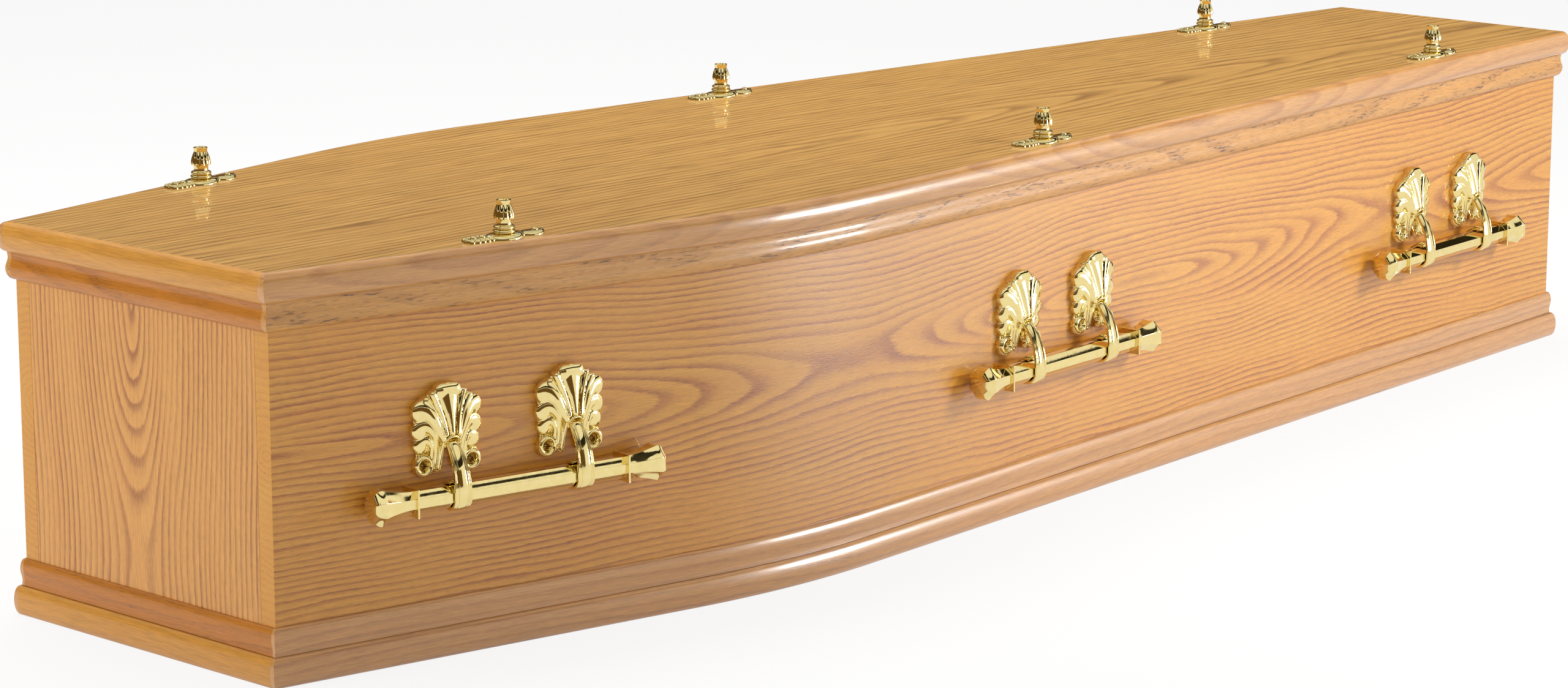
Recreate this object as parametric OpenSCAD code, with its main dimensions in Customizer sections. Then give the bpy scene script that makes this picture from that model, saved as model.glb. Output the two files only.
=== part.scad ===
// Shouldered wooden coffin with a lift-off lid, six bar handles and six lid screws.
// Frame: origin at the middle of the underside, +X towards the foot, +Z up, millimetres.
// "left" pieces stand on the -Y side and "right" pieces on the +Y side.

/* [Body] */
// Length of the body between its outer end faces
body_len = 1968; // [1700:1:2200]
// Outer width of the body at the head end
head_w = 342; // [300:1:420]
// Outer width at the shoulder, where the two straight side lines would meet
shoulder_w = 544; // [470:1:640]
// Outer width of the body at the foot end
foot_w = 302; // [260:1:360]
// Distance of the shoulder from the head end
shoulder_x = 536; // [450:1:640]
// Radius of the shoulder bend on the outer face of the side board
bend_r = 840; // [500:10:1000]
// Height from the floor to the top of the lid
total_h = 360; // [320:1:430]

/* [Boards] */
// Thickness of the side boards
side_t = 18; // [12:0.5:25]
// Thickness of the head and foot boards
end_t = 18; // [12:0.5:25]
// Thickness of the lid board
lid_t = 18; // [12:0.5:22]
// Thickness of the base board
base_t = 18; // [12:0.5:22]
// How far the lid and base boards stand out past the body's faces
board_out = 4; // [2:0.5:8]

/* [Mouldings] */
// Height of the half-round on the edges of the lid and base boards
round_h = 27; // [23:0.5:34]
// Thickness of the lid's half-round at its middle
lid_round_t = 8.5; // [6:0.5:14]
// Thickness of the base's half-round at its middle
base_round_t = 5.5; // [5:0.5:14]
// Thickness of both half-rounds at their edges
round_edge = 1; // [0.6:0.1:2]
// Height of the lipped moulding on the body's faces
mould_h = 25; // [20:0.5:34]
// Thickness of the upper moulding at its lip
top_lip = 7; // [5:0.5:12]
// Thickness of the upper moulding at its neck
top_neck = 5; // [3:0.5:8]
// Thickness of the lower moulding at its lip
base_lip = 4.5; // [4:0.5:12]
// Thickness of the lower moulding at its neck
base_neck = 3.2; // [2.5:0.1:8]

/* [Handles] */
// Distance of the head handles' middles from the head end
head_handle_in = 230; // [200:1:280]
// Distance of the middle handles' middles from the head end
mid_handle_in = 951; // [850:1:1050]
// Distance of the foot handles' middles from the foot end
foot_handle_in = 264; // [210:1:320]
// Distance between the middles of a handle's two plates
plate_gap = 127; // [110:1:150]
// Height of the plates' middles above the floor
plate_z = 204; // [170:1:230]
// Height of a leaf plate
plate_h = 83; // [70:1:95]
// Width of a leaf plate
plate_w = 70; // [60:1:80]
// Thickness of a leaf plate at its lobes
plate_t = 9; // [6:0.5:12]
// How far a plate's hood stands out from the wall
hood_out = 17; // [14:0.5:22]
// Overall length of a bar with its end caps
bar_len = 302; // [270:1:360]
// Width of the eight-sided bar across its corners
bar_d = 21; // [16:0.5:24]
// Distance of the bar's axis from the wall
bar_out = 19; // [18:0.5:30]
// Drop of the bar's axis below the plates' middles
bar_drop = 56.5; // [52:0.5:66]
// Width of an end cap's rim across its corners
cap_d = 34.5; // [26:0.5:38]
// Length of an end cap with its flange
cap_len = 43; // [32:1:48]
// Width of the square flange at a cap's inner end
flange_w = 25.5; // [20:0.5:30]
// Thickness of that flange
flange_t = 2; // [1:0.5:4]
// Width of a strap where it wraps the bar
strap_w = 17; // [14:0.5:20]
// Thickness of a strap round the bar
strap_t = 3.5; // [2.5:0.25:5]
// Gap between the bar's corners and the straps round it
bar_fit = 0.3; // [0.2:0.05:0.6]

/* [Lid screws] */
// Distance of the head screws from the head end
head_screw_in = 241; // [180:1:300]
// Distance of the middle screws from the head end
mid_screw_in = 955; // [850:1:1050]
// Distance of the foot screws from the foot end
foot_screw_in = 261; // [200:1:320]
// Distance of the head screws inside the body's outer faces
head_screw_edge = 12.5; // [8:0.5:25]
// Distance of the middle screws inside the body's outer faces
mid_screw_edge = 18; // [8:0.5:25]
// Distance of the foot screws inside the body's outer faces
foot_screw_edge = 14; // [8:0.5:25]
// Length of a screw's escutcheon
esc_len = 86; // [76:1:110]
// How far an escutcheon turns to the wall beside it, 0 for none and 1 for all the way
esc_follow = 0.5; // [0:0.1:1]
// Thickness of an escutcheon's arms
esc_t = 3; // [2:0.5:5]
// Height of an escutcheon's domed middle
boss_h = 4.5; // [4:0.5:9]
// Diameter of the bud on a lid screw
bud_d = 19; // [15:0.5:24]
// Height of a lid screw above its escutcheon
screw_h = 29; // [24:1:36]

/* [Hidden] */
SIDES = ["left", "right"];
ENDS = ["head", "foot"];
PLACES = ["head", "middle", "foot"];
PAIR = ["a", "b"];
STRIPS = ["lid_round", "top_mould", "base_mould", "base_round"];

OAK = "#c8924f";
BOARD = "#c9a068";
GOLD = "#d9c25a";
half_len = body_len / 2;
// slopes of the two straight stretches of a side, head side and foot side
head_slope = atan2((shoulder_w - head_w) / 2, shoulder_x);
foot_slope = atan2((shoulder_w - foot_w) / 2, body_len - shoulder_x);
turn = head_slope + foot_slope;
shoulder = [shoulder_x - half_len, shoulder_w / 2];
bend_cut = bend_r * tan(turn / 2);
head_dir = [cos(head_slope), sin(head_slope)];
foot_dir = [cos(foot_slope), -sin(foot_slope)];
bend_start = shoulder - bend_cut * head_dir;
bend_end = shoulder + bend_cut * foot_dir;
bend_mid = bend_start - bend_r * [-sin(head_slope), cos(head_slope)];
// past the ends by this much before a strip is trimmed
spare = 60;
// how far the straight stretches run into the bend, so that a strip is one solid
lap = 0.05;
head_run = half_len + bend_start.x + spare;
foot_run = half_len - bend_end.x + spare;
lid_z = total_h - lid_t;
round_z = total_h - round_h;
top_mould_z = round_z - mould_h;
base_mould_z = round_h;
// steps in a moulded curve and in the shoulder's bend
curve_n = 8;
bend_n = 24;

// ---- plan of the body ----
// distance of the side's straight lines from the middle, at x, moved out by o
function head_line(x, o) = head_w / 2 + (x + half_len) * tan(head_slope) + o / cos(head_slope);
function foot_line(x, o) = foot_w / 2 + (half_len - x) * tan(foot_slope) + o / cos(foot_slope);
function bend_point(o, a) = bend_mid + (bend_r + o) * [cos(a), sin(a)];
// the +Y side from head to foot, moved out by o, with its ends moved out by e
function side_line(o, e) = concat(
    [[-half_len - e, head_line(-half_len - e, o)]],
    [for (i = [0:bend_n]) bend_point(o, 90 + head_slope - turn * i / bend_n)],
    [[half_len + e, foot_line(half_len + e, o)]]);
function plan(o, e) = let (top = side_line(o, e), n = len(top))
    concat(top, [for (i = [n - 1:-1:0]) [top[i].x, -top[i].y]]);

// ---- outer curves of the mouldings, out from the wall and up ----
function half_round(t) = [for (i = [0:2 * curve_n]) let (a = -90 + 180 * i / (2 * curve_n))
    [round_edge + (t - round_edge) * cos(a), round_h * (1 + sin(a)) / 2]];
// a rounded lip below, a hollow neck above and a small flare at the top
function lipped(lip, neck) = let (lip_h = 0.4 * mould_h, neck_h = 0.82 * mould_h) concat(
    [for (i = [0:curve_n]) let (a = 90 * i / curve_n)
        [round_edge + (lip - round_edge) * sin(a), lip_h * (1 - cos(a))]],
    [for (i = [1:curve_n]) let (a = 180 * i / curve_n)
        [neck + (lip - neck) * (1 + cos(a)) / 2, lip_h + (neck_h - lip_h) * i / curve_n]],
    [[1.12 * neck, mould_h]]);
function flipped(curve) = [for (i = [len(curve) - 1:-1:0]) [curve[i].x, mould_h - curve[i].y]];
strip_curves = [half_round(lid_round_t), lipped(top_lip, top_neck),
    flipped(lipped(base_lip, base_neck)), half_round(base_round_t)];
strip_z = [round_z, top_mould_z, base_mould_z, 0];
strip_h = [round_h, mould_h, mould_h, round_h];
strip_in = [board_out, 0, 0, board_out];

module section(kind, o) {
    polygon(concat([[o, 0]], [for (p = strip_curves[kind]) [p.x + o, p.y]], [[o, strip_h[kind]]]));
}

// a moulding carried along the +Y side, past both ends
module along_side(kind) {
    o = strip_in[kind];
    translate([bend_start.x, bend_start.y, 0]) rotate([0, 0, head_slope]) translate([-head_run, 0, 0])
        rotate([90, 0, 90]) linear_extrude(head_run + lap) section(kind, o);
    translate([bend_mid.x, bend_mid.y, 0]) rotate([0, 0, 90 - foot_slope])
        rotate_extrude(angle = turn, $fn = 360) section(kind, bend_r + o);
    translate([bend_end.x, bend_end.y, 0]) rotate([0, 0, -foot_slope]) translate([-lap, 0, 0])
        rotate([90, 0, 90]) linear_extrude(foot_run + lap) section(kind, o);
}

// a block as wide as the coffin, with both its ends cut to a moulding's curve
module between_ends(kind) {
    curve = strip_curves[kind];
    o = half_len + strip_in[kind];
    right = concat([[o + curve[0].x, -5]], [for (p = curve) [o + p.x, p.y]],
        [[o + curve[len(curve) - 1].x, strip_h[kind] + 5]]);
    left = [for (i = [len(right) - 1:-1:0]) [-right[i].x, right[i].y]];
    translate([0, shoulder_w, 0]) rotate([90, 0, 0]) linear_extrude(2 * shoulder_w) polygon(concat(right, left));
}

// side 0 is left, at -Y, and side 1 is right, at +Y
module on_side(side) {
    mirror([0, 1 - side, 0]) children();
}

module side_strip(kind, side) {
    color(OAK) on_side(side) translate([0, 0, strip_z[kind]]) intersection() {
        along_side(kind);
        between_ends(kind);
    }
}

// end 0 is the head, at -X, and end 1 is the foot, at +X
module end_strip(kind, end) {
    color(OAK) translate([0, 0, strip_z[kind]]) intersection() {
        mirror([1 - end, 0, 0]) translate([half_len, shoulder_w / 2, 0]) rotate([90, 0, 0])
            linear_extrude(shoulder_w) section(kind, strip_in[kind]);
        translate([0, 0, -5]) linear_extrude(round_h + mould_h) polygon(plan(strip_in[kind], spare));
    }
}

// ---- boards ----
module flat_board(t, z) {
    color(BOARD) translate([0, 0, z]) linear_extrude(t) polygon(plan(board_out, board_out));
}

module side_board(side) {
    inner = side_line(-side_t, 0);
    wall = concat(side_line(0, 0), [for (i = [len(inner) - 1:-1:0]) inner[i]]);
    color(BOARD) on_side(side) translate([0, 0, base_t]) linear_extrude(lid_z - base_t) polygon(wall);
}

module end_board(end) {
    color(BOARD) mirror([1 - end, 0, 0]) intersection() {
        translate([half_len - end_t, -shoulder_w / 2, base_t]) cube([end_t, shoulder_w, lid_z - base_t]);
        mirror([1 - end, 0, 0]) linear_extrude(total_h) polygon(plan(-side_t, spare));
    }
}

// ---- handles ----
handle_x = [head_handle_in - half_len, mid_handle_in - half_len, half_len - foot_handle_in];
// at a place on a side wall: x along the wall towards the foot, y out of it
module on_wall(place, side) {
    x = handle_x[place];
    at_head = x < shoulder.x;
    on_side(side) translate([x, at_head ? head_line(x, 0) : foot_line(x, 0), 0])
        rotate([0, 0, at_head ? head_slope : -foot_slope]) children();
}

// turns a shape drawn along the wall and up into a plate standing t out from the wall
module plate(t) {
    rotate([90, 0, 180]) linear_extrude(t) children();
}

// lobes of the leaf: distance from its middle line, height and radius, as shares of the plate
lobe_r = 0.15 * plate_w;
curl_r = 0.155 * plate_w;
curl = [plate_w / 2 - curl_r, curl_r - plate_h / 2];
lobes = [[plate_w / 2 - lobe_r, 0.29 * plate_h, lobe_r],
         [0.49 * plate_w - 0.9 * lobe_r, 0.06 * plate_h, 0.9 * lobe_r],
         [0.43 * plate_w - 0.85 * lobe_r, -0.14 * plate_h, 0.85 * lobe_r],
         [curl.x, curl.y, curl_r]];
tip_w = 0.15 * plate_w;
neck_w = 0.17 * plate_w;
lip_z = -0.07 * plate_h;
slot_w = 0.2 * plate_w;
slot_floor = 3;
hood_wall = 3;
tunnel_h = 7;
screw_hole_r = 4.2;

module leaf_outline() {
    for (m = [0, 1]) mirror([m, 0]) {
        for (l = lobes) translate([l.x, l.y]) circle(r = l.z, $fn = 48);
        polygon([[-1, plate_h / 2], [tip_w / 2, plate_h / 2], [1.6 * tip_w, 0.44 * plate_h],
                 [lobes[0].x, lobes[0].y + lobe_r / 2], [lobes[1].x, lobes[1].y], [lobes[2].x, lobes[2].y],
                 [curl.x, curl.y], [0.12 * plate_w, -0.44 * plate_h], [-1, -0.42 * plate_h]]);
    }
}

// a tapered rib from one point of the leaf to another
module rib(from, to, w) {
    run = to - from;
    translate(from) rotate([0, 0, atan2(run.y, run.x)]) polygon(
        [[0, -w / 4], [norm(run), -w / 2], [norm(run) + w / 4, 0], [norm(run), w / 2], [0, w / 4]]);
}

module leaf_plate(place, side, which) {
    middle = [0, lip_z + 0.08 * plate_h];
    ridge = [[0, lip_z], [hood_out, lip_z], [plate_t + 3, 0.1 * plate_h], [plate_t + 1, 0.46 * plate_h],
        [0, 0.46 * plate_h]];
    color(GOLD) on_wall(place, side) translate([(which - 0.5) * plate_gap, 0, plate_z]) difference() {
        union() {
            plate(plate_t - 2.5) leaf_outline();
            for (m = [0, 1]) mirror([m, 0]) {
                for (l = lobes) translate([l.x, 0, l.y]) rotate([-90, 0, 0]) cylinder(r = l.z - 2, h = plate_t, $fn = 48);
                plate(plate_t + 1.6) rib(middle, [1.7 * tip_w, 0.36 * plate_h], 0.07 * plate_w);
                plate(plate_t + 1.2) rib(middle, [lobes[0].x, lobes[0].y], 0.11 * plate_w);
                plate(plate_t + 0.8) rib(middle, [lobes[1].x, lobes[1].y], 0.09 * plate_w);
            }
            translate([-neck_w / 2 - 1.2, 0, 0]) rotate([90, 0, 90]) linear_extrude(neck_w + 2.4) polygon(ridge);
        }
        // the slot below the hood and the tunnel up into it, where a strap comes out
        translate([-slot_w / 2, slot_floor, -plate_h]) cube([slot_w, 2 * hood_out, plate_h + lip_z]);
        translate([-slot_w / 2, slot_floor, lip_z - 1]) cube([slot_w, hood_out - hood_wall - slot_floor, 1 + tunnel_h]);
        for (m = [-1, 1]) translate([m * curl.x, slot_floor, curl.y]) rotate([-90, 0, 0])
            cylinder(r = screw_hole_r, h = plate_t, $fn = 32);
    }
}

bar_z = plate_z - bar_drop;
eye_r = bar_d / 2 + bar_fit;
ring_r = eye_r + strap_t;
// the root of a strap stands in the tunnel, and its arm leaves just under the hood
root_z = plate_z + lip_z + tunnel_h - 1;
arm_z = plate_z + lip_z - 2;
root_out = hood_out - hood_wall - 1;
arm_t = strap_t + 1;

// one strap: rooted in the hood, swept out and down, and closed round the bar
module strap() {
    rise = arm_z - bar_z;
    reach = bar_out + ring_r - root_out;
    arm = concat(
        [[slot_floor, arm_z - 2 * arm_t], [slot_floor, root_z], [root_out, root_z]],
        [for (i = [0:curve_n]) let (a = 90 * i / curve_n)
            [root_out + reach * sin(a), bar_z + rise * cos(a)]],
        [[bar_out + eye_r - 1, bar_z]],
        [for (i = [curve_n:-1:0]) let (a = 90 * i / curve_n)
            [root_out + (reach - arm_t) * sin(a), bar_z + (rise - 2 * arm_t) * cos(a)]]);
    top_w = slot_w - 1.5;
    front = [[-top_w / 2, root_z], [top_w / 2, root_z], [top_w / 2, arm_z], [strap_w / 2, bar_z], [strap_w / 2, bar_z - ring_r - 1],
             [-strap_w / 2, bar_z - ring_r - 1], [-strap_w / 2, bar_z], [-top_w / 2, arm_z]];
    intersection() {
        difference() {
            union() {
                translate([-strap_w / 2, 0, 0]) rotate([90, 0, 90]) linear_extrude(strap_w) polygon(arm);
                translate([-strap_w / 2, bar_out, bar_z]) rotate([0, 90, 0]) cylinder(r = ring_r, h = strap_w, $fn = 64);
            }
            translate([-strap_w, bar_out, bar_z]) rotate([0, 90, 0]) cylinder(r = eye_r, h = 2 * strap_w, $fn = 64);
        }
        translate([0, bar_out + ring_r + 1, 0]) rotate([90, 0, 0]) linear_extrude(bar_out + ring_r + 1) polygon(front);
    }
}

module straps(place, side) {
    color(GOLD) on_wall(place, side) for (m = [-0.5, 0.5]) translate([m * plate_gap, 0, 0]) strap();
}

dome_h = 5.5;
cap_neck = bar_d / 2 + 0.5;
// an eight-sided end cap: flange, hollow-sided trumpet and shallow dome
module cap() {
    flare = cap_len - flange_t - dome_h;
    outline = concat(
        [[0, 0], [cap_neck, 0]],
        [for (i = [0:5]) let (q = i / 5) [cap_neck + (cap_d / 2 - cap_neck) * pow(q, 1.8), flange_t + flare * q]],
        [[0.4 * cap_d, cap_len - dome_h / 2], [0.2 * cap_d, cap_len], [0, cap_len]]);
    translate([0, -flange_w / 2, -flange_w / 2]) cube([flange_t, flange_w, flange_w]);
    rotate([0, 90, 0]) rotate([0, 0, 22.5]) rotate_extrude($fn = 8) polygon(outline);
}

module bar(place, side) {
    tube = bar_len - 2 * cap_len;
    color(GOLD) on_wall(place, side) translate([0, bar_out, bar_z]) {
        translate([-tube / 2, 0, 0]) rotate([0, 90, 0]) rotate([0, 0, 22.5]) cylinder(d = bar_d, h = tube, $fn = 8);
        for (m = [0, 1]) mirror([m, 0, 0]) translate([tube / 2, 0, 0]) cap();
    }
}

// ---- lid screws ----
screw_x = [head_screw_in - half_len, mid_screw_in - half_len, half_len - foot_screw_in];
screw_edge = [head_screw_edge, mid_screw_edge, foot_screw_edge];
module on_lid(place, side) {
    x = screw_x[place];
    y = (x < shoulder.x ? head_line(x, 0) : foot_line(x, 0)) - screw_edge[place];
    on_side(side) translate([x, y, total_h]) rotate([0, 0, esc_follow * (x < shoulder.x ? head_slope : -foot_slope)])
        children();
}

boss_r = 0.2 * esc_len;
bead_r = 0.055 * esc_len;
tail_r = 0.105 * esc_len;
collar_r = 0.53 * bud_d;
// a domed middle, a scalloped arm towards the head and a smooth one towards the foot
module escutcheon(place, side) {
    color(GOLD) on_lid(place, side) {
        linear_extrude(esc_t) {
            scale([1, 1]) circle(r = 0.85 * boss_r, $fn = 64);
            translate([0, -0.5 * tail_r]) square([esc_len / 2 - tail_r, tail_r]);
            translate([esc_len / 2 - tail_r, 0]) circle(r = tail_r, $fn = 48);
            translate([bead_r - esc_len / 2 + 2, -bead_r]) square([esc_len / 2, 2 * bead_r]);
            for (i = [0:3], m = [-1, 1]) let (w = 0.9 - 0.12 * i)
                translate([bead_r - esc_len / 2 + 1.75 * bead_r * i, m * w * bead_r]) circle(r = bead_r, $fn = 32);
        }
        translate([0, 0, esc_t]) cylinder(r1 = 0.8 * boss_r, r2 = collar_r + 0.6, h = boss_h - esc_t, $fn = 64);
    }
}

// two rolled collars, a plain neck and a bud that narrows to a banded flat top
module lid_screw(place, side) {
    roll = 0.09 * bud_d;
    neck_z = 4 * roll;
    bud_z = neck_z + 0.3 * bud_d;
    band_z = screw_h - 0.16 * bud_d;
    outline = concat([[0, 0]],
        [for (k = [0, 1], i = [0:curve_n]) let (a = -90 + 180 * i / curve_n)
            [collar_r - roll - 0.5 * k + roll * cos(a), roll * (1 + 2 * k + sin(a))]],
        [[0.37 * bud_d, neck_z], [0.36 * bud_d, bud_z - 0.6], [0.46 * bud_d, bud_z], [bud_d / 2, bud_z + 1.5]],
        [for (i = [1:curve_n]) let (q = i / curve_n)
            [bud_d / 2 - 0.19 * bud_d * pow(q, 1.6), bud_z + 1.5 + (band_z - bud_z - 1.5) * q]],
        [[0.34 * bud_d, band_z + 0.5], [0.335 * bud_d, screw_h], [0.28 * bud_d, screw_h],
         [0.26 * bud_d, screw_h - 0.7], [0, screw_h - 0.7]]);
    color(GOLD) on_lid(place, side) translate([0, 0, boss_h]) rotate_extrude($fn = 64) polygon(outline);
}

flat_board(lid_t, lid_z);  // lid_board
flat_board(base_t, 0);  // base_board
end_board(0);  // head_board
end_board(1);  // foot_board
for (s = [0, 1]) {
    side_board(s);
    for (m = [0:3]) side_strip(m, s);
    for (m = [0:3]) end_strip(m, s);
    for (p = [0:2]) {
        at = str(PLACES[p], "_", SIDES[s]);
        for (k = [0, 1]) leaf_plate(p, s, k);
        straps(p, s);
        bar(p, s);
        escutcheon(p, s);
        lid_screw(p, s);
    }
}
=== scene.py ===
"""Shouldered oak coffin with brass furniture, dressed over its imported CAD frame."""
import logging
import math
from dataclasses import dataclass, field
from enum import Enum
from typing import Callable, Iterable, Sequence

import bmesh
import bpy
import numpy as np
from mathutils import Matrix, Vector


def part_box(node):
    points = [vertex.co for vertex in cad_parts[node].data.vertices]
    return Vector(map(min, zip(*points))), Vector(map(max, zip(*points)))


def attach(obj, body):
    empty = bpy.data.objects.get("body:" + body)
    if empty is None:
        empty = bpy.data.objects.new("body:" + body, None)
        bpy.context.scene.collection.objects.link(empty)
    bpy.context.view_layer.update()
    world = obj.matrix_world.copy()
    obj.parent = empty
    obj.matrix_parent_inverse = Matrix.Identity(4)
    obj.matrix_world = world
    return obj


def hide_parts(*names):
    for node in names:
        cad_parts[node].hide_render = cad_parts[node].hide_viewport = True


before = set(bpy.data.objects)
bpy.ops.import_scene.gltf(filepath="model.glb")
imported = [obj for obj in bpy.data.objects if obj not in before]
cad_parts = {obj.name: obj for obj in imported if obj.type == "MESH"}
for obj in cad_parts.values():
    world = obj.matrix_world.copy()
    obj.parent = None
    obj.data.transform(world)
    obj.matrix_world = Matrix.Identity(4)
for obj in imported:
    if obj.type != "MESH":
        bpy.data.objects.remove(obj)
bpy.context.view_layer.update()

LOG = logging.getLogger("coffin")
MM = 0.001
Point = tuple[float, float, float]


# ---------------------------------------------------------------- named options
class Side(Enum):
    """The two long sides; the value is the sign of Y."""
    LEFT = -1
    RIGHT = 1

    @property
    def word(self) -> str:
        """The side's word in the frame's node names."""
        return self.name.lower()


class End(Enum):
    """The two ends; the value is the sign of X."""
    HEAD = -1
    FOOT = 1

    @property
    def word(self) -> str:
        """The end's word in the frame's node names."""
        return self.name.lower()


class Place(Enum):
    """Where a handle or a lid screw stands along the coffin."""
    HEAD = "head"
    MIDDLE = "middle"
    FOOT = "foot"


class Grain(Enum):
    """Which way a board's grain runs in the finished coffin."""
    ALONG_SIDE = 0
    ALONG_X = 1
    ALONG_Y = 2
    UPRIGHT = 3


# ---------------------------------------------------------------- small helpers
def hex_colour(code: str) -> tuple[float, float, float, float]:
    """Turns an sRGB hex colour into Blender's linear RGBA.

    Args:
        code: six hex digits, with or without a leading hash.

    Returns:
        The linear colour, opaque.
    """
    digits = code.lstrip("#")
    out = []
    for i in (0, 2, 4):
        c = int(digits[i:i + 2], 16) / 255
        out.append(c / 12.92 if c <= 0.04045 else ((c + 0.055) / 1.055) ** 2.4)
    return (*out, 1.0)


def add_node(tree: bpy.types.NodeTree, kind: str, inputs: dict | None = None, **settings) -> bpy.types.Node:
    """Adds a node, applies its settings and fills or links its inputs.

    Args:
        tree: the node tree to add to.
        kind: the node's Blender type name.
        inputs: input name or index to a value, or to the output socket that feeds it.
        **settings: properties of the node.

    Returns:
        The new node.
    """
    node = tree.nodes.new(kind)
    for name, value in settings.items():
        setattr(node, name, value)
    for key, value in (inputs or {}).items():
        if isinstance(value, bpy.types.NodeSocket):
            tree.links.new(value, node.inputs[key])
        else:
            node.inputs[key].default_value = value
    return node


def mesh_object(name: str, verts: Iterable[Point], faces: Iterable[Sequence[int]],
                sharp_deg: float = 35.0, weld: float = 1e-7) -> bpy.types.Object:
    """Makes a closed, smooth-shaded mesh object at the origin, with its faces outwards.

    Args:
        name: the piece's name.
        verts: vertex positions in metres.
        faces: vertex indices of each face.
        sharp_deg: edges sharper than this stay sharp.
        weld: vertices nearer than this are merged.

    Returns:
        The object, linked to the scene.
    """
    mesh = bpy.data.meshes.new(name)
    bm = bmesh.new()
    made = [bm.verts.new(v) for v in verts]
    for f in faces:
        if len(set(f)) > 2:
            try:
                bm.faces.new([made[i] for i in f])
            except ValueError:
                continue
    bmesh.ops.remove_doubles(bm, verts=bm.verts, dist=weld)
    bmesh.ops.dissolve_degenerate(bm, dist=weld, edges=bm.edges)
    bmesh.ops.recalc_face_normals(bm, faces=bm.faces)
    bm.to_mesh(mesh)
    bm.free()
    return shade(link(bpy.data.objects.new(name, mesh)), sharp_deg)


def link(obj: bpy.types.Object) -> bpy.types.Object:
    """Links an object to the scene and returns it."""
    bpy.context.scene.collection.objects.link(obj)
    return obj


def shade(obj: bpy.types.Object, sharp_deg: float) -> bpy.types.Object:
    """Smooths an object's faces and keeps the edges over an angle sharp."""
    obj.data.shade_smooth()
    obj.data.set_sharp_from_angle(angle=math.radians(sharp_deg))
    return obj


def made_plain(obj: bpy.types.Object) -> bpy.types.Object:
    """Takes what an object's modifiers make as its own mesh, and removes them."""
    bpy.context.view_layer.update()
    done = bpy.data.meshes.new_from_object(obj.evaluated_get(bpy.context.evaluated_depsgraph_get()))
    obj.modifiers.clear()
    obj.data = done
    return obj


def bevelled(obj: bpy.types.Object, width_mm: float, over_deg: float = 38.0, segments: int = 2) -> bpy.types.Object:
    """Rounds an object's sharp edges, so that each arris takes light as a sanded edge does.

    Args:
        obj: the object to round.
        width_mm: width of the rounding.
        over_deg: edges sharper than this are rounded.
        segments: faces across each rounding.

    Returns:
        The same object, with the rounding in its mesh.
    """
    mod = obj.modifiers.new("arris", "BEVEL")
    mod.width = width_mm * MM
    mod.segments = segments
    mod.limit_method = "ANGLE"
    mod.angle_limit = math.radians(over_deg)
    mod.use_clamp_overlap = True
    mod.harden_normals = True
    return made_plain(obj)


def joined(name: str, parts: Sequence[bpy.types.Object]) -> bpy.types.Object:
    """Joins several mesh objects into one named piece.

    Args:
        name: the piece's name.
        parts: the objects to join, which are removed.

    Returns:
        The joined object.
    """
    bm = bmesh.new()
    for part in parts:
        bm.from_mesh(part.data)
    for f in bm.faces:
        f.material_index = 0
    mesh = bpy.data.meshes.new(name)
    bm.to_mesh(mesh)
    bm.free()
    for part in parts:
        bpy.data.objects.remove(part)
    return link(bpy.data.objects.new(name, mesh))


def placed(obj: bpy.types.Object, matrix: Matrix) -> bpy.types.Object:
    """Moves an object's mesh by a matrix, turning its faces back if the matrix mirrors."""
    obj.data.transform(matrix)
    if matrix.determinant() < 0:
        obj.data.flip_normals()
    obj.data.update()
    return obj


def copied(obj: bpy.types.Object, name: str, matrix: Matrix) -> bpy.types.Object:
    """Copies an object's mesh to a new object and places it by a matrix."""
    return placed(link(bpy.data.objects.new(name, obj.data.copy())), matrix)


def hand_over(obj: bpy.types.Object, material: bpy.types.Material, slot: str, *nodes: str) -> bpy.types.Object:
    """Dresses a finished piece and ties it to the frame.

    Args:
        obj: the finished piece.
        material: its finish.
        slot: the name of a material slot; not used.
        *nodes: the CAD nodes that it stands for.

    Returns:
        The same object.
    """
    obj.data.materials.clear()
    obj.data.materials.append(material)
    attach(obj, "root")
    if nodes:
        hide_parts(*nodes)
    LOG.info("%s: %d faces, for %s", obj.name, len(obj.data.polygons), ", ".join(nodes) or "no node")
    return obj


def grid_faces(rows: int, cols: int) -> list[tuple[int, ...]]:
    """Quads between rows of vertices, each row closed on itself.

    Args:
        rows: number of rows.
        cols: vertices in a row.

    Returns:
        The faces as vertex indices.
    """
    return [(i * cols + j, i * cols + (j + 1) % cols, (i + 1) * cols + (j + 1) % cols, (i + 1) * cols + j)
            for i in range(rows - 1) for j in range(cols)]


def solid_faces(rows: int, cols: int) -> list[tuple[int, ...]]:
    """The faces of `grid_faces` with the first and the last row filled, which closes the shape."""
    return grid_faces(rows, cols) + [tuple(range(cols)), tuple(range((rows - 1) * cols, rows * cols))]


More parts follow.
